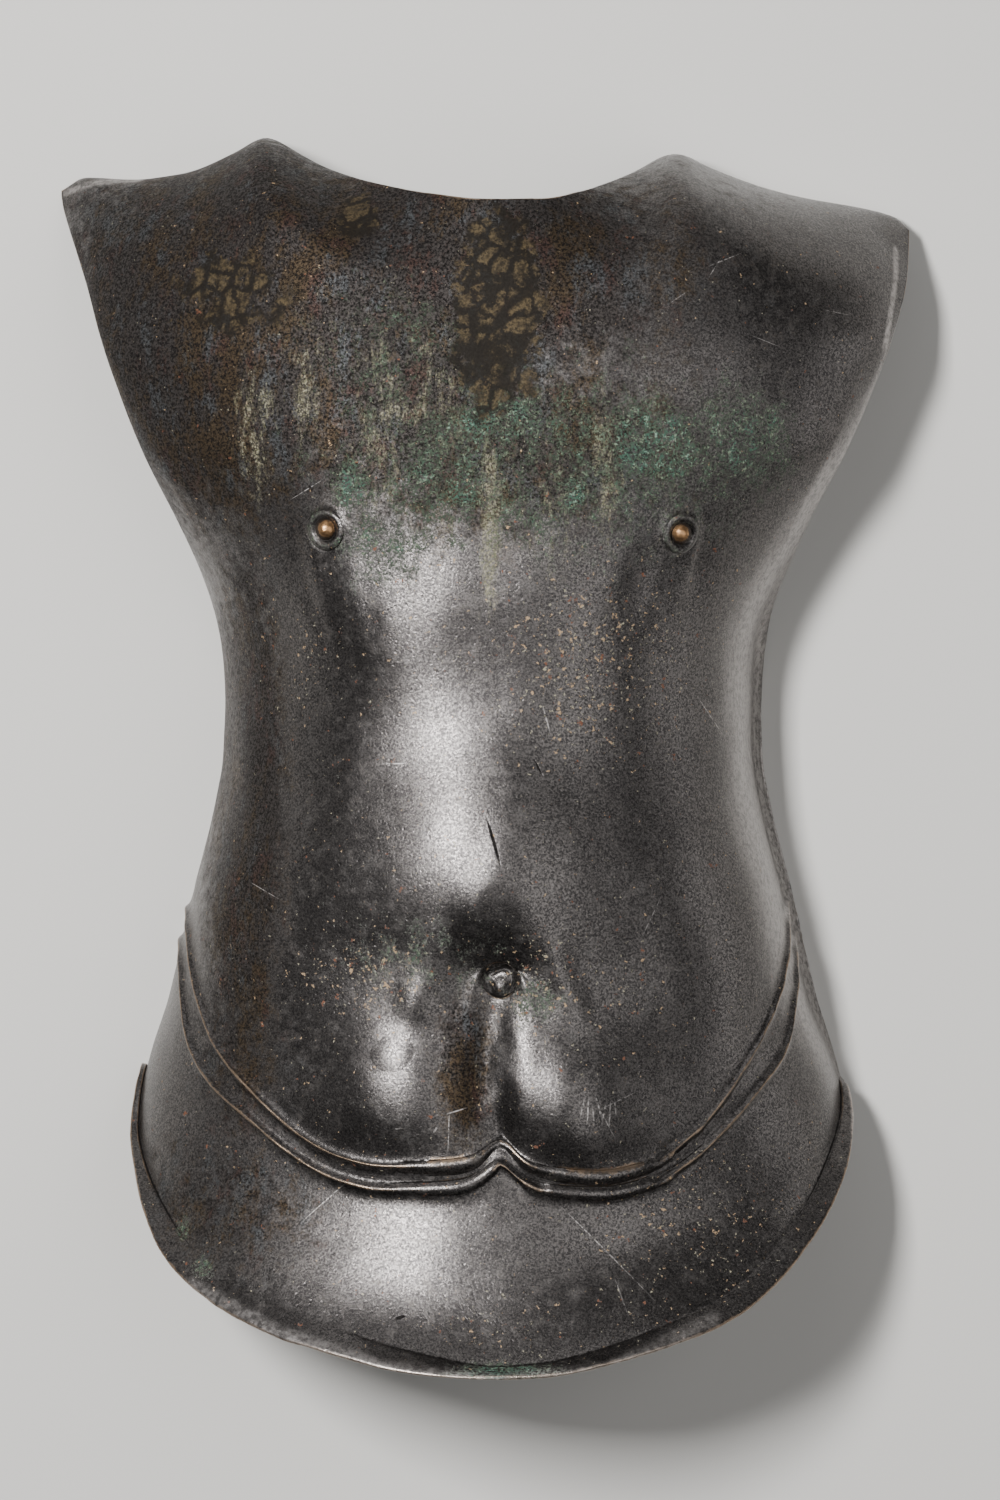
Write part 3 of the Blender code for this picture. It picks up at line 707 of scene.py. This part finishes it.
    def specks(self, graph: Graph, coat: Coat) -> Coat:
        """Small tan, red and olive spots of corrosion, thickest where the mask says.

        Args:
            graph: the material's nodes.
            coat: what they lie on.

        Returns:
            The coat.
        """
        for size, tint, gain, seed in ((2.6, self.tan, 0.085, 1.3), (4.2, self.red, 0.060, 2.9),
                                       (1.8, self.pale_olive, 0.075, 4.1)):
            spots = graph.clouds(Clouds(size, 3.0, 0.65, seed))
            seen = graph.grown(Mask.SPECK, spots, gain, 0.700, 0.735)
            coat = graph.cover(seen, coat, Coat(tint, 0.3, 0.6), 0.85)
        return coat

    def streaks(self, graph: Graph, coat: Coat, flecks: Value) -> Coat:
        """Pale olive runs down the chest, porous enough that the metal shows through.

        Args:
            graph: the material's nodes.
            coat: what they lie on.
            flecks: their pores.

        Returns:
            The coat.
        """
        seen = graph.grown(Mask.STREAK, graph.clouds(self.run), 0.34, 0.66, 0.84)
        porous = graph.add(Kind.TIMES, seen, graph.add(Kind.NUMBERS, flecks, 0.10, 0.95))
        pale = graph.add(Kind.STEP, graph.clouds(self.run_grain), 0.42, 0.60)
        tint = graph.add(Kind.COLOURS, pale, self.olive, self.pale_olive)
        return graph.cover(porous, coat, Coat(tint, 0.15, 0.72))

    def bloom(self, graph: Graph, coat: Coat, flecks: Value) -> tuple[Coat, Value]:
        """Green powder in patches on the chest: a mossy haze, and teal where it is thick.

        Args:
            graph: the material's nodes.
            coat: what it lies on.
            flecks: its pores.

        Returns:
            The coat, and where the powder lies.
        """
        powder = graph.clouds(self.powder)
        seen = graph.grown(Mask.BLOOM, powder, 0.42, 0.62, 0.76)
        thick = graph.grown(Mask.BLOOM, powder, 0.42, 0.74, 0.86)
        porous = graph.add(Kind.TIMES, seen, graph.add(Kind.NUMBERS, flecks, 0.05, 0.95))
        pale = graph.add(Kind.STEP, graph.clouds(self.powder_grain), 0.50, 0.66)
        haze = graph.add(Kind.COLOURS, pale, self.moss, self.pale_moss)
        teal = graph.add(Kind.COLOURS, pale, self.teal, self.pale_teal)
        tint = graph.add(Kind.COLOURS, thick, haze, teal)
        return graph.cover(porous, coat, Coat(tint, 0.10, 0.78)), porous

    def crust(self, graph: Graph, coat: Coat) -> tuple[Coat, Value]:
        """A scab of dark scales with ochre blotches in it, below the neckline.

        Args:
            graph: the material's nodes.
            coat: what it lies on.

        Returns:
            The coat, and where the scab lies.
        """
        seen = graph.grown(Mask.CRUST, graph.clouds(self.scab), 0.50, 0.72, 0.84)
        edge = graph.cells(Kind.EDGES, self.scab_cell, 3.3, graph.clouds(self.scab_bend))
        ring = graph.add(Kind.TIMES, graph.add(Kind.STEP, edge, 0.06, 0.18),
                         graph.add(Kind.STEP, edge, 0.22, 0.40, 1.0, 0.35))
        lump = graph.add(Kind.STEP, graph.clouds(self.scab_lump), 0.42, 0.54)
        grit = graph.add(Kind.STEP, graph.clouds(self.scab_grit), 0.40, 0.58, 0.20, 1.0)
        share = graph.add(Kind.TIMES, graph.add(Kind.TIMES, ring, lump), grit)
        scales = graph.add(Kind.COLOURS, share, self.scale, self.ochre)
        return graph.cover(seen, coat, Coat(scales, 0.30, 0.62), 0.88), seen

    def wear(self, graph: Graph, coat: Coat) -> Coat:
        """A near-black colour in the hollows, rubbed bright metal on the crests, light grey on the
        turned edges and steep flanks that is partly bare metal and partly a painted rim highlight,
        and scratches.

        Args:
            graph: the material's nodes.
            coat: what has worn.

        Returns:
            The coat.
        """
        rub = graph.clouds(self.rub)
        # A near-black colour laid in the concave hollows, found from how the surface bends.
        darkened_hollows = graph.grown(Mask.HOLLOW, rub, 0.55, 0.55, 1.00)
        coat = graph.cover(darkened_hollows, coat, Coat(self.near_black, 0.2, 0.7))
        rubbed = graph.grown(Mask.WORN, rub, 0.50, 0.70, 1.05)
        coat = graph.cover(rubbed, coat, Coat(self.copper, 0.95, 0.34), 0.80)
        # Painted rim highlight: light grey on the turned edges and steep flanks, partly bare metal.
        drawn = graph.add(Kind.MASK, attribute_name=Mask.BRIGHT.value)
        bare_and_rim_sheen = graph.add(Kind.TIMES, graph.add(Kind.STEP, drawn, 0.0, 0.9),
                          graph.add(Kind.STEP, rub, 0.36, 0.60, 0.30, 1.0))
        colour = graph.add(Kind.COLOURS, bare_and_rim_sheen, coat.colour, self.bare_and_rim_sheen)
        rough = graph.add(Kind.NUMBERS, bare_and_rim_sheen, coat.rough, 0.42)
        cut = graph.add(Kind.STEP, graph.marks(self.box, GOUGES), 0.0, 0.6)
        colour = graph.add(Kind.COLOURS, graph.add(Kind.TIMES, cut, 0.75), colour, self.near_black)
        line = graph.add(Kind.STEP, graph.marks(self.box, SCRATCHES), 0.0, 0.5)
        skipped = graph.add(Kind.STEP, graph.clouds(self.skip), 0.35, 0.60)
        broken = graph.add(Kind.TIMES, graph.add(Kind.TIMES, line, skipped), 0.8)
        colour = graph.add(Kind.COLOURS, broken, colour, self.bare_and_rim_sheen)
        return Coat(colour, coat.metal, graph.add(Kind.NUMBERS, cut, rough, 0.75))

    def relief(self, graph: Graph, grain: Value, blotch: Value,
               scaled: Value) -> bpy.types.NodeSocket:
        """The waves, grain, pits and scale of the surface, and its gouges.

        Args:
            graph: the material's nodes.
            grain, blotch: its patterns.
            scaled: where powder and scab lie.

        Returns:
            The normal.
        """
        pits = graph.add(Kind.STEP, graph.cells(Kind.CELLS, self.pit, 4.4), 0.10, 0.24)
        cut = graph.add(Kind.STEP, graph.marks(self.box, GOUGES), 0.0, 0.8)
        return graph.relief([
            Relief(graph.clouds(self.wave), 0.35, 0.50),
            Relief(blotch, 0.20, 0.35),
            Relief(grain, 0.14, 0.75),
            Relief(pits, 0.12, 0.35),
            Relief(scaled, 0.12, 0.60),
            Relief(graph.add(Kind.MINUS, 1.0, cut), 0.40, 0.80),
        ])


@dataclass(frozen=True)
class DullBronze:
    """The sheet's hammered back, never polished. It gives the hollow a brown, even dullness."""

    dark: str = "332a22"
    light: str = "665744"
    green: str = "5d7263"
    grain: Clouds = Clouds(1.6, 4.0, 0.7)
    shade: Clouds = Clouds(24.0, 4.0, 0.6, 1.1)
    powder: Clouds = Clouds(13.0, 5.0, 0.7, 3.7)
    hammer: float = 9.0

    def material(self) -> bpy.types.Material:
        """Builds the material.

        Returns:
            The material.
        """
        graph = Graph("bronze sheet, hammered and left dull")
        grain = graph.clouds(self.grain)
        colour = graph.add(Kind.COLOURS, graph.add(Kind.STEP, grain, 0.35, 0.68), self.dark,
                           self.light)
        green = graph.add(Kind.STEP, graph.clouds(self.powder), 0.55, 0.72, 0.0, 0.6)
        colour = graph.add(Kind.COLOURS, green, colour, self.green)
        metal = graph.add(Kind.STEP, graph.clouds(self.shade), 0.35, 0.65, 0.6, 0.35)
        hammered = graph.cells(Kind.SOFT_CELLS, self.hammer, 6.6)
        normal = graph.relief([Relief(hammered, 0.6, 0.4), Relief(grain, 0.10, 0.5)])
        return graph.finish(Coat(colour, metal, 0.62), normal)


@dataclass(frozen=True)
class RubbedStud:
    """A turned bronze stud. It catches a yellow glint on its rubbed tip, dark round its foot."""

    dark: str = "2e251e"
    yellow: str = "9c7a58"
    grain: Clouds = Clouds(0.9, 4.0, 0.7)
    lump: Clouds = Clouds(3.0, 3.0, 0.6, 2.0)

    def material(self) -> bpy.types.Material:
        """Builds the material.

        Returns:
            The material.
        """
        graph = Graph("bronze stud, turned and rubbed bright at the tip")
        grain = graph.clouds(self.grain)
        rubbed = graph.grown(Mask.WORN, grain, 0.7, 0.60, 1.00)
        coat = graph.cover(rubbed, Coat(self.dark, 0.7, 0.60), Coat(self.yellow, 1.0, 0.36))
        normal = graph.relief([Relief(graph.clouds(self.lump), 0.60, 0.6),
                               Relief(grain, 0.12, 0.6)])
        return graph.finish(coat, normal)


@dataclass(frozen=True)
class StudioPaper:
    """Matt pale paper, which gives the metal an even light from below."""

    pale: str = "c4c2be"
    fibre: Clouds = Clouds(2.0)

    def material(self) -> bpy.types.Material:
        """Builds the material.

        Returns:
            The material.
        """
        graph = Graph("studio paper, matt")
        normal = graph.relief([Relief(graph.clouds(self.fibre), 0.02, 0.2)])
        return graph.finish(Coat(self.pale, 0.0, 0.85), normal)


def select_only(obj: bpy.types.Object) -> None:
    """Deselects everything, then selects the object and makes it active.

    Args:
        obj: the object.
    """
    bpy.ops.object.select_all(action="DESELECT")
    obj.select_set(True)
    bpy.context.view_layer.objects.active = obj


def copy_of_node(node: bpy.types.Object, name: str) -> bpy.types.Object:
    """A copy of a CAD node with its triangles merged and joined back into quads.

    Args:
        node: the CAD node's object.
        name: the copy's name.

    Returns:
        The copy, at the origin.
    """
    piece = bpy.data.objects.new(name, node.data.copy())
    bpy.context.collection.objects.link(piece)
    select_only(piece)
    bpy.ops.object.mode_set(mode="EDIT")
    bpy.ops.mesh.select_all(action="SELECT")
    bpy.ops.mesh.remove_doubles(threshold=HAIR)
    bpy.ops.mesh.tris_convert_to_quads(face_threshold=ANY_ANGLE, shape_threshold=ANY_ANGLE,
                                       topology_influence=2.0)
    bpy.ops.object.mode_set(mode="OBJECT")
    piece.data.materials.clear()
    return piece


def places_of(mesh: bpy.types.Mesh) -> tuple[np.ndarray, np.ndarray]:
    """Reads a mesh.

    Args:
        mesh: the mesh.

    Returns:
        Its vertices' places and normals, as arrays of three columns.
    """
    places = np.empty(len(mesh.vertices) * 3)
    mesh.vertices.foreach_get("co", places)
    normals = np.empty(len(mesh.vertices) * 3)
    mesh.vertex_normals.foreach_get("vector", normals)
    return places.reshape(-1, 3), normals.reshape(-1, 3)


def subdivide(piece: bpy.types.Object, levels: int, passes: int = 3) -> None:
    """Rounds a piece off by an applied subdivision surface that still goes through its vertices.

    Args:
        piece: the object.
        levels: how often its faces are divided.
        passes: how often the vertices are moved out to make up for the rounding.
    """
    select_only(piece)
    rounding = piece.modifiers.new("rounding", "SUBSURF")
    rounding.levels = rounding.render_levels = levels
    aims, _ = places_of(piece.data)
    for _ in range(passes):
        rounded = piece.evaluated_get(bpy.context.evaluated_depsgraph_get()).to_mesh()
        found = places_of(rounded)[0][:len(aims)]
        moved = places_of(piece.data)[0] + aims - found
        piece.data.vertices.foreach_set("co", moved.ravel())
        piece.data.update()
    bpy.ops.object.modifier_apply(modifier=rounding.name)
    piece.data.shade_smooth()


def store(mesh: bpy.types.Mesh, mask: Mask, values: np.ndarray) -> None:
    """Keeps one number per vertex on the mesh for a finish to read."""
    layer = mesh.attributes.new(mask.value, "FLOAT", "POINT")
    layer.data.foreach_set("value", np.clip(values, 0.0, 1.0).astype(np.float32))


def smoothstep(values: np.ndarray, low: float, high: float) -> np.ndarray:
    """A smooth step from 0 at low to 1 at high."""
    share = np.clip((values - low) / (high - low), 0.0, 1.0)
    return share * share * (3 - 2 * share)


def far_from(line: tuple, x: np.ndarray, y: np.ndarray) -> np.ndarray:
    """Measures from a line through points.

    Args:
        line: the points.
        x, y: the places.

    Returns:
        How far each place lies from the line.
    """
    best = np.full(len(x), np.inf)
    for (x0, y0), (x1, y1) in zip(line, line[1:]):
        run_x, run_y = x1 - x0, y1 - y0
        share = ((x - x0) * run_x + (y - y0) * run_y) / (run_x**2 + run_y**2)
        share = np.clip(share, 0.0, 1.0)
        best = np.minimum(best, np.hypot(x - x0 - share * run_x, y - y0 - share * run_y))
    return best


@dataclass
class TorsoPlate:
    """The plate's fine mesh: the CAD sheet rounded off, worked and given its patina's masks."""

    node: bpy.types.Object
    box: Box
    nipples: tuple
    ring: float = 6.9 * MM
    ring_width: float = 1.7 * MM
    ring_rise: float = 0.6 * MM
    ring_bloom: float = 0.42
    wall: float = 1.6 * MM
    rim_share: float = 1.6
    levels: int = 2
    rim_crease: float = 0.4
    hammer: float = 0.16 * MM
    hammer_size: float = 21 * MM
    fine_hammer: float = 0.05 * MM
    fine_size: float = 8 * MM
    chip: float = 0.35 * MM
    chip_size: float = 6 * MM
    crest: tuple = (90.0, 420.0)
    hollow: tuple = (60.0, 380.0)
    # The low right flank is painted light grey, as a painted rim highlight.
    lap_height: float = 11 * MM
    lap_fade: float = 4 * MM
    lap_across: tuple = (0.60, 0.70)
    lap_down: tuple = (0.36, 0.42)
    steep: tuple = (0.80, 1.00)
    flank_start: tuple = (0.10, 0.20)
    flank_end: tuple = (-0.86, -0.70)
    flank_across: tuple = (0.18, 0.26)
    # How strongly the steep flanks on each side are painted lighter, as a painted rim highlight.
    left_flank_sheen: float = 0.30
    right_flank_sheen: float = 0.70

    def build(self) -> bpy.types.Object:
        """Makes the piece.

        Returns:
            The plate, riding on the body in place of its CAD node.
        """
        piece = copy_of_node(self.node, "breastplate_sheet")
        self.mark_sides(piece.data)
        subdivide(piece, self.levels)
        self.work(piece.data)
        self.paint(piece.data)
        for finish in (PatinatedBronze(self.box), DullBronze()):
            piece.data.materials.append(finish.material())
        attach(piece, BODY)
        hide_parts("breastplate")
        return piece

    def mark_sides(self, mesh: bpy.types.Mesh) -> None:
        """Gives each face its side of the sheet, and creases the rim.

        A face of the rim is one from which a line back through the metal is longer than the wall.

        Args:
            mesh: the plate's mesh.
        """
        bm = bmesh.new()
        bm.from_mesh(mesh)
        bm.normal_update()
        tree = BVHTree.FromBMesh(bm)
        for face in bm.faces:
            start = face.calc_center_median() - face.normal * HAIR
            length = tree.ray_cast(start, -face.normal)[3]
            thick = length is None or length > self.rim_share * self.wall
            face.material_index = Side.RIM.value if thick else Side.BACK.value
        top = max((f for f in bm.faces if f.material_index == Side.BACK.value),
                  key=lambda f: f.calc_center_median().z + f.normal.z)
        found = [top]
        while found:
            face = found.pop()
            face.material_index = Side.FRONT.value
            found += {other for edge in face.edges for other in edge.link_faces
                      if other.material_index == Side.BACK.value}
            for other in found:
                other.material_index = Side.FRONT.value
        crease = bm.edges.layers.float.new("crease_edge")
        for edge in bm.edges:
            sides = {face.material_index for face in edge.link_faces}
            if Side.RIM.value in sides and len(sides) == 2:
                edge[crease] = self.rim_crease
        counts = [sum(f.material_index == side.value for f in bm.faces) for side in Side]
        LOG.info("faces in front, behind and on the rim: %s", counts)
        bm.to_mesh(mesh)
        bm.free()

    def sides(self, mesh: bpy.types.Mesh) -> tuple[np.ndarray, np.ndarray]:
        """Reads the faces' sides.

        Args:
            mesh: the plate's mesh.

        Returns:
            For each vertex, 1 in front and -1 behind, and whether it lies on the rim.
        """
        facing = np.ones(len(mesh.vertices))
        rim = np.zeros(len(mesh.vertices), bool)
        for face in mesh.polygons:
            if face.material_index == Side.BACK.value:
                facing[list(face.vertices)] = -1.0
        for face in mesh.polygons:
            if face.material_index == Side.RIM.value:
                rim[list(face.vertices)] = True
        return facing, rim

    def shares(self, places: np.ndarray) -> tuple[np.ndarray, np.ndarray]:
        """The places' shares of the box, across and down."""
        size = self.box.high - self.box.low
        return (places[:, 0] - self.box.low.x) / size.x, (self.box.high.y - places[:, 1]) / size.y

    def from_middle(self, places: np.ndarray, patch: Patch) -> np.ndarray:
        """How far each place lies from a patch's middle, squared, with 1 at its edge."""
        across, down = self.shares(places)
        return ((across - patch.across) / patch.wide) ** 2 + ((down - patch.down) / patch.tall) ** 2

    def from_line(self, places: np.ndarray, line: Stroke | Band) -> np.ndarray:
        """How far each place lies from a line, with 1 at its edge."""
        points = tuple(self.box.place(*point) for point in line.points)
        return far_from(points, places[:, 0], places[:, 1]) / (line.width * MM)

    def patches(self, places: np.ndarray, patches: list) -> np.ndarray:
        """Draws patches, the strongest of them on top.

        Args:
            places: the places to draw at.
            patches: the patches.

        Returns:
            How strongly they show at each place.
        """
        total = np.zeros(len(places))
        for patch in patches:
            here = patch.strength * np.exp(-self.from_middle(places, patch) ** PATCH_EDGE)
            total = np.where(np.abs(here) > np.abs(total), here, total)
        return total

    def bands(self, places: np.ndarray, bands: list) -> np.ndarray:
        """Draws strips with a crisp edge.

        Args:
            places: the places to draw at.
            bands: the strips.

        Returns:
            How strongly they show at each place.
        """
        total = np.zeros(len(places))
        for band in bands:
            here = band.strength * np.exp(-self.from_line(places, band) ** BAND_EDGE)
            total = np.maximum(total, here)
        return total

    def risen(self, places: np.ndarray) -> np.ndarray:
        """Works the sheet's low forms.

        Args:
            places: the vertices.

        Returns:
            How far each moves out by hammering, folds, swells, dents and the nipples' rings.
        """
        rise = np.array([self.hammered(Vector(place)) for place in places])
        for fold in FOLDS:
            rise += fold.rise * MM * np.exp(-self.from_line(places, fold) ** 2)
        for swell in SWELLS + DENTS:
            rise += swell.strength * MM * np.exp(-self.from_middle(places, swell))
        return rise + self.rings(places) * self.ring_rise

    def work(self, mesh: bpy.types.Mesh) -> None:
        """Moves the sheet for its low forms and its chipped rim, inside the CAD's box.

        Args:
            mesh: the plate's mesh. Its rim then takes the finish of the front.
        """
        places, normals = places_of(mesh)
        facing, rim = self.sides(mesh)
        rise = np.where(rim, 0.0, self.risen(places))
        moved = places + normals * (rise * facing)[:, None]
        chips = np.array([noise.noise(Vector(place) / self.chip_size) for place in places[rim]])
        inward = -normals[rim] * (self.chip * np.clip(chips, 0.0, 1.0))[:, None]
        inward[:, 2] = 0.0
        moved[rim] += inward
        moved = np.clip(moved, np.array(self.box.low), np.array(self.box.high))
        mesh.vertices.foreach_set("co", moved.ravel())
        for face in mesh.polygons:
            if face.material_index == Side.RIM.value:
                face.material_index = Side.FRONT.value
        mesh.update()

    def from_nipple(self, places: np.ndarray) -> np.ndarray:
        """How far each place lies from the nearer nipple's middle, seen from above."""
        far = [np.hypot(places[:, 0] - x, places[:, 1] - y) for x, y in self.nipples]
        return np.minimum(*far)

    def rings(self, places: np.ndarray) -> np.ndarray:
        """The raised ring round each nipple, 1 along its middle."""
        return np.exp(-((self.from_nipple(places) - self.ring) / self.ring_width) ** 2)

    def hammered(self, place: Vector) -> float:
        """The height of the hammering at a place."""
        broad = noise.noise(place / self.hammer_size) * self.hammer
        return broad + noise.noise(place / self.fine_size) * self.fine_hammer

    def bends(self, mesh: bpy.types.Mesh) -> np.ndarray:
        """Measures how sharply the surface bends, averaged twice with its neighbours.

        Args:
            mesh: the plate's mesh.

        Returns:
            The bend at each vertex, per metre, outwards positive.
        """
        places, normals = places_of(mesh)
        ends = np.empty(len(mesh.edges) * 2, np.int32)
        mesh.edges.foreach_get("vertices", ends)
        first, second = ends.reshape(-1, 2).T
        run = places[second] - places[first]
        square = np.maximum((run**2).sum(axis=1), NO_LENGTH)
        total = np.zeros(len(places))
        count = np.zeros(len(places))
        for start, sign in ((first, -2.0), (second, 2.0)):
            np.add.at(total, start, sign * (run * normals[start]).sum(axis=1) / square)
            np.add.at(count, start, 1.0)
        bend = total / np.maximum(count, 1.0)
        for _ in range(2):
            spread = np.zeros(len(places))
            np.add.at(spread, first, bend[second])
            np.add.at(spread, second, bend[first])
            bend = 0.5 * bend + 0.5 * spread / np.maximum(count, 1.0)
        return bend

    def bright(self, mesh: bpy.types.Mesh) -> np.ndarray:
        """Finds the edges and steep flanks that are painted light grey: bare metal on the turned
        edges, and a painted rim highlight on them and on the steep flanks.

        Args:
            mesh: the plate's mesh.

        Returns:
            How light grey each vertex is painted, from 0 to 1.
        """
        places, normals = places_of(mesh)
        across, down = self.shares(places)
        low = smoothstep(self.lap_height - places[:, 2], 0.0, self.lap_fade)
        right = smoothstep(across, *self.lap_across) * smoothstep(down, *self.lap_down)
        # The turned edges and the low right flank: bare metal painted light grey as a painted rim
        # highlight.
        turned = np.maximum(self.bands(places, BARE_AND_RIM_SHEEN_EDGES), low * right)
        # Painted highlight: the steep flanks are painted lighter to stand in for rim light.
        steep = smoothstep(np.sqrt(1 - np.clip(normals[:, 2], 0.0, 1.0) ** 2), *self.steep)
        flank = smoothstep(down, *self.flank_start) * smoothstep(-down, *self.flank_end)
        flank *= smoothstep(np.abs(across - 0.5), *self.flank_across)
        return np.maximum(
            turned, np.where(across < 0.5, self.left_flank_sheen, self.right_flank_sheen) * steep * flank)

    def paint(self, mesh: bpy.types.Mesh) -> None:
        """Keeps the masks that the finish reads.

        Args:
            mesh: the plate's mesh.
        """
        places, _ = places_of(mesh)
        bend = self.bends(mesh)
        away = smoothstep(self.from_nipple(places), self.ring, 2 * self.ring)
        bloom = np.maximum(self.patches(places, BLOOM), self.ring_bloom * self.rings(places))
        store(mesh, Mask.BLOOM, bloom)
        for mask, patches in ((Mask.CRUST, CRUST), (Mask.STREAK, STREAK), (Mask.SPECK, SPECK),
                              (Mask.MATT, MATT)):
            store(mesh, mask, self.patches(places, patches))
        store(mesh, Mask.WORN, smoothstep(bend, *self.crest) * away)
        # The concave hollows, where the finish lays a near-black colour.
        store(mesh, Mask.HOLLOW, smoothstep(-bend, *self.hollow))
        store(mesh, Mask.BRIGHT, self.bright(mesh))


@dataclass
class NippleStud:
    """A nipple's separate stud: a dome on a shank, its tip rubbed bright."""

    node: bpy.types.Object
    name: str
    levels: int = 2
    dent: float = 0.12 * MM
    dent_size: float = 2.5 * MM
    rubbed_depth: float = 2.4 * MM

    def build(self) -> bpy.types.Object:
        """Makes the piece.

        Returns:
            The stud, riding on the body in place of its CAD node.
        """
        piece = copy_of_node(self.node, self.name)
        subdivide(piece, self.levels)
        places, normals = places_of(piece.data)
        dents = np.array([noise.noise(Vector(place) / self.dent_size) for place in places])
        places = places - normals * (self.dent * np.clip(dents, 0.0, 1.0))[:, None]
        piece.data.vertices.foreach_set("co", places.ravel())
        piece.data.update()
        top = places[:, 2].max()
        store(piece.data, Mask.WORN, smoothstep(places[:, 2], top - self.rubbed_depth, top))
        piece.data.materials.append(RubbedStud().material())
        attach(piece, BODY)
        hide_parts(self.node.name)
        return piece


@dataclass(frozen=True)
class Studio:
    """The pale floor, the soft lights and the camera straight above the plate."""

    box: Box
    floor_size: float = 12.0
    camera_height: float = 2.4
    camera_shift: float = 0.0066
    camera_below_top: float = 0.2531
    view_height: float = 0.6245
    air: str = "f2f2f4"
    world_light: float = 0.075
    lights: tuple = (
        Softbox("key", (-0.72, 0.44, 1.9), 0.26, 0.50, 80.0),
        Softbox("left card", (-2.6, 0.0, 0.35), 0.50, 1.60, 2.0),
        Softbox("right card", (2.6, 0.0, 0.35), 0.50, 1.60, 7.0),
        Softbox("top card", (-0.2, 2.5, 1.2), 1.80, 0.70, 10.0),
        Softbox("fill", (1.4, -0.2, 2.4), 1.80, 2.40, 29.0),
    )
    lit: tuple = (0.0, 0.0, 0.05)

    def build(self) -> None:
        """Makes the stage."""
        self.floor()
        for light in self.lights:
            self.softbox(light)
        self.camera()
        world = bpy.data.worlds.new("studio air")
        world.use_nodes = True
        back = world.node_tree.nodes["Background"]
        back.inputs["Color"].default_value = linear(self.air)
        back.inputs["Strength"].default_value = self.world_light
        bpy.context.scene.world = world

    def floor(self) -> None:
        """Lays the floor under the rim."""
        bpy.ops.mesh.primitive_plane_add(size=self.floor_size, location=(0.0, 0.0, 0.0))
        floor = bpy.context.object
        floor.name = "studio_floor"
        floor.data.materials.append(StudioPaper().material())

    def softbox(self, light: Softbox) -> None:
        """Hangs one light, turned to the plate with its tall side along the world's Y.

        Args:
            light: the light.
        """
        lamp = bpy.data.lights.new(light.name, "AREA")
        lamp.shape = "RECTANGLE"
        lamp.size = light.wide
        lamp.size_y = light.tall
        lamp.energy = light.power
        hung = bpy.data.objects.new(light.name, lamp)
        hung.location = light.place
        away = (Vector(light.place) - Vector(self.lit)).normalized()
        along = (Vector((0.0, 1.0, 0.0)) - away * away.y).normalized()
        hung.rotation_euler = Matrix((along.cross(away), along, away)).transposed().to_euler()
        bpy.context.collection.objects.link(hung)

    def camera(self) -> None:
        """Puts the camera above the plate, looking straight down, with the neck at the top."""
        lens = bpy.data.cameras.new("camera")
        lens.sensor_fit = "VERTICAL"
        lens.angle = 2 * math.atan(self.view_height / 2 / self.camera_height)
        camera = bpy.data.objects.new("camera", lens)
        camera.location = (self.camera_shift, self.box.high.y - self.camera_below_top,
                           self.camera_height)
        bpy.context.collection.objects.link(camera)
        bpy.context.scene.camera = camera


def middle_of(node: str) -> tuple[float, float]:
    """The x and y of the middle of a CAD node's box."""
    low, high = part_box(node)
    return (low[0] + high[0]) / 2, (low[1] + high[1]) / 2


def main() -> None:
    """Builds the pieces and their stage."""
    logging.basicConfig(level=logging.INFO, format="%(name)s: %(message)s")
    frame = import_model()
    low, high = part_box("breastplate")
    box = Box(Vector(low), Vector(high))
    nipples = tuple(middle_of(f"nipple_stud_{side}") for side in ("left", "right"))
    plate = TorsoPlate(frame["nodes"]["breastplate"], box, nipples).build()
    LOG.info("plate: %d faces", len(plate.data.polygons))
    for side in ("left", "right"):
        stud = NippleStud(frame["nodes"][f"nipple_stud_{side}"], f"stud_{side}").build()
        LOG.info("%s stud: %d faces", side, len(stud.data.polygons))
    Studio(box).build()
    LOG.info("stage set")


if __name__ == "__main__":
    main()
